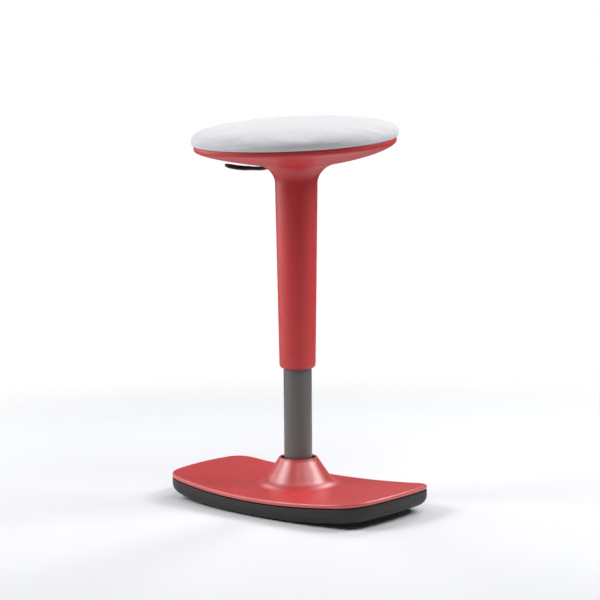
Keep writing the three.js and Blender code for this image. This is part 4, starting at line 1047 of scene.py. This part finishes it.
def make_lamp(s, name, turn, tilt, aim, power):
    """A softbox on a sphere round the middle, turned to a height on the column."""
    light = bpy.data.lights.new(name, "AREA")
    light.shape, light.size, light.size_y, light.energy = "RECTANGLE", s.lamp_width, s.lamp_length, power
    lamp = bpy.data.objects.new(name, light)
    spot = Vector((math.sin(turn) * math.cos(tilt), -math.cos(turn) * math.cos(tilt), math.sin(tilt)))
    lamp.location = Vector((0, 0, aim)) + spot * s.lamp_distance
    lamp.rotation_euler = spot.to_track_quat("Z", "Y").to_euler()
    lamp.visible_camera = False
    bpy.context.scene.collection.objects.link(lamp)


def make_world(s):
    """World: white to the camera. To all other rays only a band low round the horizon gives light."""
    world = bpy.data.worlds.new("studio")
    world.use_nodes = True
    bpy.context.scene.world = world
    nodes = Nodes(world.node_tree)
    back = nodes.tree.nodes["Background"]
    back.inputs["Color"].default_value = (1, 1, 1, 1)
    ray = nodes.node("ShaderNodeTexCoord", {}, out="Generated")
    upward = nodes.node("ShaderNodeSeparateXYZ", {}, out="Z", Vector=ray)
    band = (upward - s.band_middle).math("ABSOLUTE").math("LESS_THAN", s.band_half)
    seen = nodes.node("ShaderNodeLightPath", {}, out="Is Camera Ray")
    nodes.link(back.inputs["Strength"], (band * s.band_light).math("MAXIMUM", seen))


# Operators

def finish_piece(piece, material, body, slot, *nodes):
    """Gives a piece its material, the body it rides on and the CAD nodes it stands for. The slot is not
    used.
    """
    piece.data.materials.clear()
    piece.data.materials.append(material)
    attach(piece, body)
    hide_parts(*nodes)


def red(name, rough, ior):
    """The moulded red, at a roughness and an index of refraction."""
    return moulded_plastic(name, sizes("colours").red, rough, 0.08, Specular_IOR_Level=1.0, IOR=ior)


class MakeCover(bpy.types.Operator):
    """Makes the red foot cover with its hollow cone"""
    bl_idname = "stool.make_cover"
    bl_label = "Foot cover"

    def execute(self, context):
        finish = red("red_glossy", 0.4, 1.7)
        finish_piece(make_cover(sizes("foot")), finish, "foot", "red_plastic", "foot_cover")
        return {"FINISHED"}


class MakeSole(bpy.types.Operator):
    """Makes the rubber rocker sole with its grip grooves and screw wells"""
    bl_idname = "stool.make_sole"
    bl_label = "Rocker sole"

    def execute(self, context):
        finish = rubber("sole_rubber_finish", sizes("colours").rubber)
        finish_piece(make_sole(sizes("foot")), finish, "foot", "sole_rubber", "rocker_sole")
        return {"FINISHED"}


class MakeTube(bpy.types.Operator):
    """Makes the painted lift tube"""
    bl_idname = "stool.make_tube"
    bl_label = "Lift tube"

    def execute(self, context):
        finish = painted_steel("tube_finish", sizes("colours").tube)
        finish_piece(make_tube(sizes("column")), finish, "foot", "tube_paint", "lift_tube")
        return {"FINISHED"}


class MakeShell(bpy.types.Operator):
    """Makes the red seat shell: dish, fillet and sleeve in one moulding"""
    bl_idname = "stool.make_shell"
    bl_label = "Seat shell"

    def execute(self, context):
        shell = make_shell(sizes("seat"), sizes("lever"), sizes("column"))
        finish_piece(shell, red("red_moulded", 0.5, 1.48), "seat", "red_plastic", "seat_shell")
        return {"FINISHED"}


class MakeCushion(bpy.types.Operator):
    """Makes the padded cushion with its knitted cover"""
    bl_idname = "stool.make_cushion"
    bl_label = "Cushion"

    def execute(self, context):
        cushion = make_cushion(sizes("seat"))
        finish = knitted_cloth("cover_knit", sizes("colours").fabric, sizes("seat").swivel)
        finish_piece(cushion, finish, "seat", "cover_fabric", "cushion")
        return {"FINISHED"}


class MakeLever(bpy.types.Operator):
    """Makes the release lever with its paddle"""
    bl_idname = "stool.make_lever"
    bl_label = "Release lever"

    def execute(self, context):
        lever = make_lever(sizes("lever"), sizes("seat").swivel)
        finish = moulded_plastic("lever_plastic", sizes("colours").black_plastic, 0.4, 0.15)
        finish_piece(lever, finish, "lever", "dark_plastic", "release_lever")
        return {"FINISHED"}


class DressNodes(bpy.types.Operator):
    """Gives the CAD pieces that stay their finishes"""
    bl_idname = "stool.dress_nodes"
    bl_label = "Inner pieces"

    def execute(self, context):
        steel = bare_metal("zinc_steel", (0.55, 0.56, 0.57), 0.34)
        dark = painted_steel("black_steel", (0.03, 0.031, 0.033))
        bright = bare_metal("polished_rod", (0.72, 0.73, 0.75), 0.14, brushed=True)
        cast = bare_metal("cast_hub", (0.45, 0.46, 0.47), 0.5, cast=True)
        white = moulded_plastic("white_plastic", (0.75, 0.74, 0.7), 0.42, 0.1)
        black = moulded_plastic("black_plastic", (0.03, 0.03, 0.032), 0.42, 0.15)
        board = plywood("pressed_board", (0.46, 0.29, 0.15))
        bung = rubber("buffer_rubber", (0.03, 0.03, 0.03))
        finishes = {"ballast_plate": dark, "column_socket": dark, "guide_bush": black, "buffer_ring": bung,
                    "piston_rod": bright, "pressure_cylinder": bright, "bearing_balls": bright,
                    "piston": white, "release_button": white, "seat_hub": cast, "cushion_board": board}
        for name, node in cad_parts.items():
            if node.hide_render:
                continue
            made = finishes.get(name) or (white if name.startswith("board_clip") else steel)
            node.data.materials.clear()
            node.data.materials.append(made)
        return {"FINISHED"}


class MakeStage(bpy.types.Operator):
    """Makes the studio: camera, pale floor and soft lights"""
    bl_idname = "stool.make_stage"
    bl_label = "Studio"
    # Degrees from the camera's azimuth, degrees above the level, watts
    boxes = ((85, 38, 21.5), (147, 38, 20.6), (100, 38, 19.7), (-85, 38, 19.5), (-70, 38, 16.4),
             (-115, 6, 13.3), (50, 54, 11.3), (-147, 38, 10.5), (0, 60, 8.3), (-85, 6, 6.1), (180, 40, 3))
    # Under this many degrees a softbox counts as low
    low_tilt = 10

    def execute(self, context):
        s = sizes("studio")
        context.scene.view_settings.view_transform = "Standard"
        make_camera(s)
        make_floor(s, sizes("colours").floor)
        for number, (from_view, tilt, power) in enumerate(self.boxes, 1):
            turn = s.azimuth + math.radians(from_view)
            aim = s.aim_low if tilt < self.low_tilt else s.aim_high
            make_lamp(s, f"softbox_{number}", turn, math.radians(tilt), aim, power)
        make_world(s)
        return {"FINISHED"}


class StoolPanel(bpy.types.Panel):
    """Lists the pieces of the stool"""
    bl_idname = "STOOL_PT_pieces"
    bl_label = "Wobble stool"
    bl_space_type = "VIEW_3D"
    bl_region_type = "UI"
    bl_category = "Stool"

    def draw(self, context):
        for step in STEPS:
            self.layout.operator(step.bl_idname)
        for name in GROUPS:
            group = getattr(context.scene, "stool_" + name)
            for key in group.__annotations__:
                self.layout.prop(group, key)


STEPS = (MakeStage, MakeCover, MakeSole, MakeTube, MakeShell, MakeCushion, MakeLever, DressNodes)
CLASSES = (*GROUPS.values(), *STEPS, StoolPanel)


def register():
    for one in CLASSES:
        bpy.utils.register_class(one)
    for name, group in GROUPS.items():
        setattr(bpy.types.Scene, "stool_" + name, PointerProperty(type=group))


def unregister():
    for name in GROUPS:
        delattr(bpy.types.Scene, "stool_" + name)
    for one in reversed(CLASSES):
        bpy.utils.unregister_class(one)


def main():
    register()
    for step in STEPS:
        group, name = step.bl_idname.split(".")
        getattr(getattr(bpy.ops, group), name)()


if __name__ == "__main__":
    main()
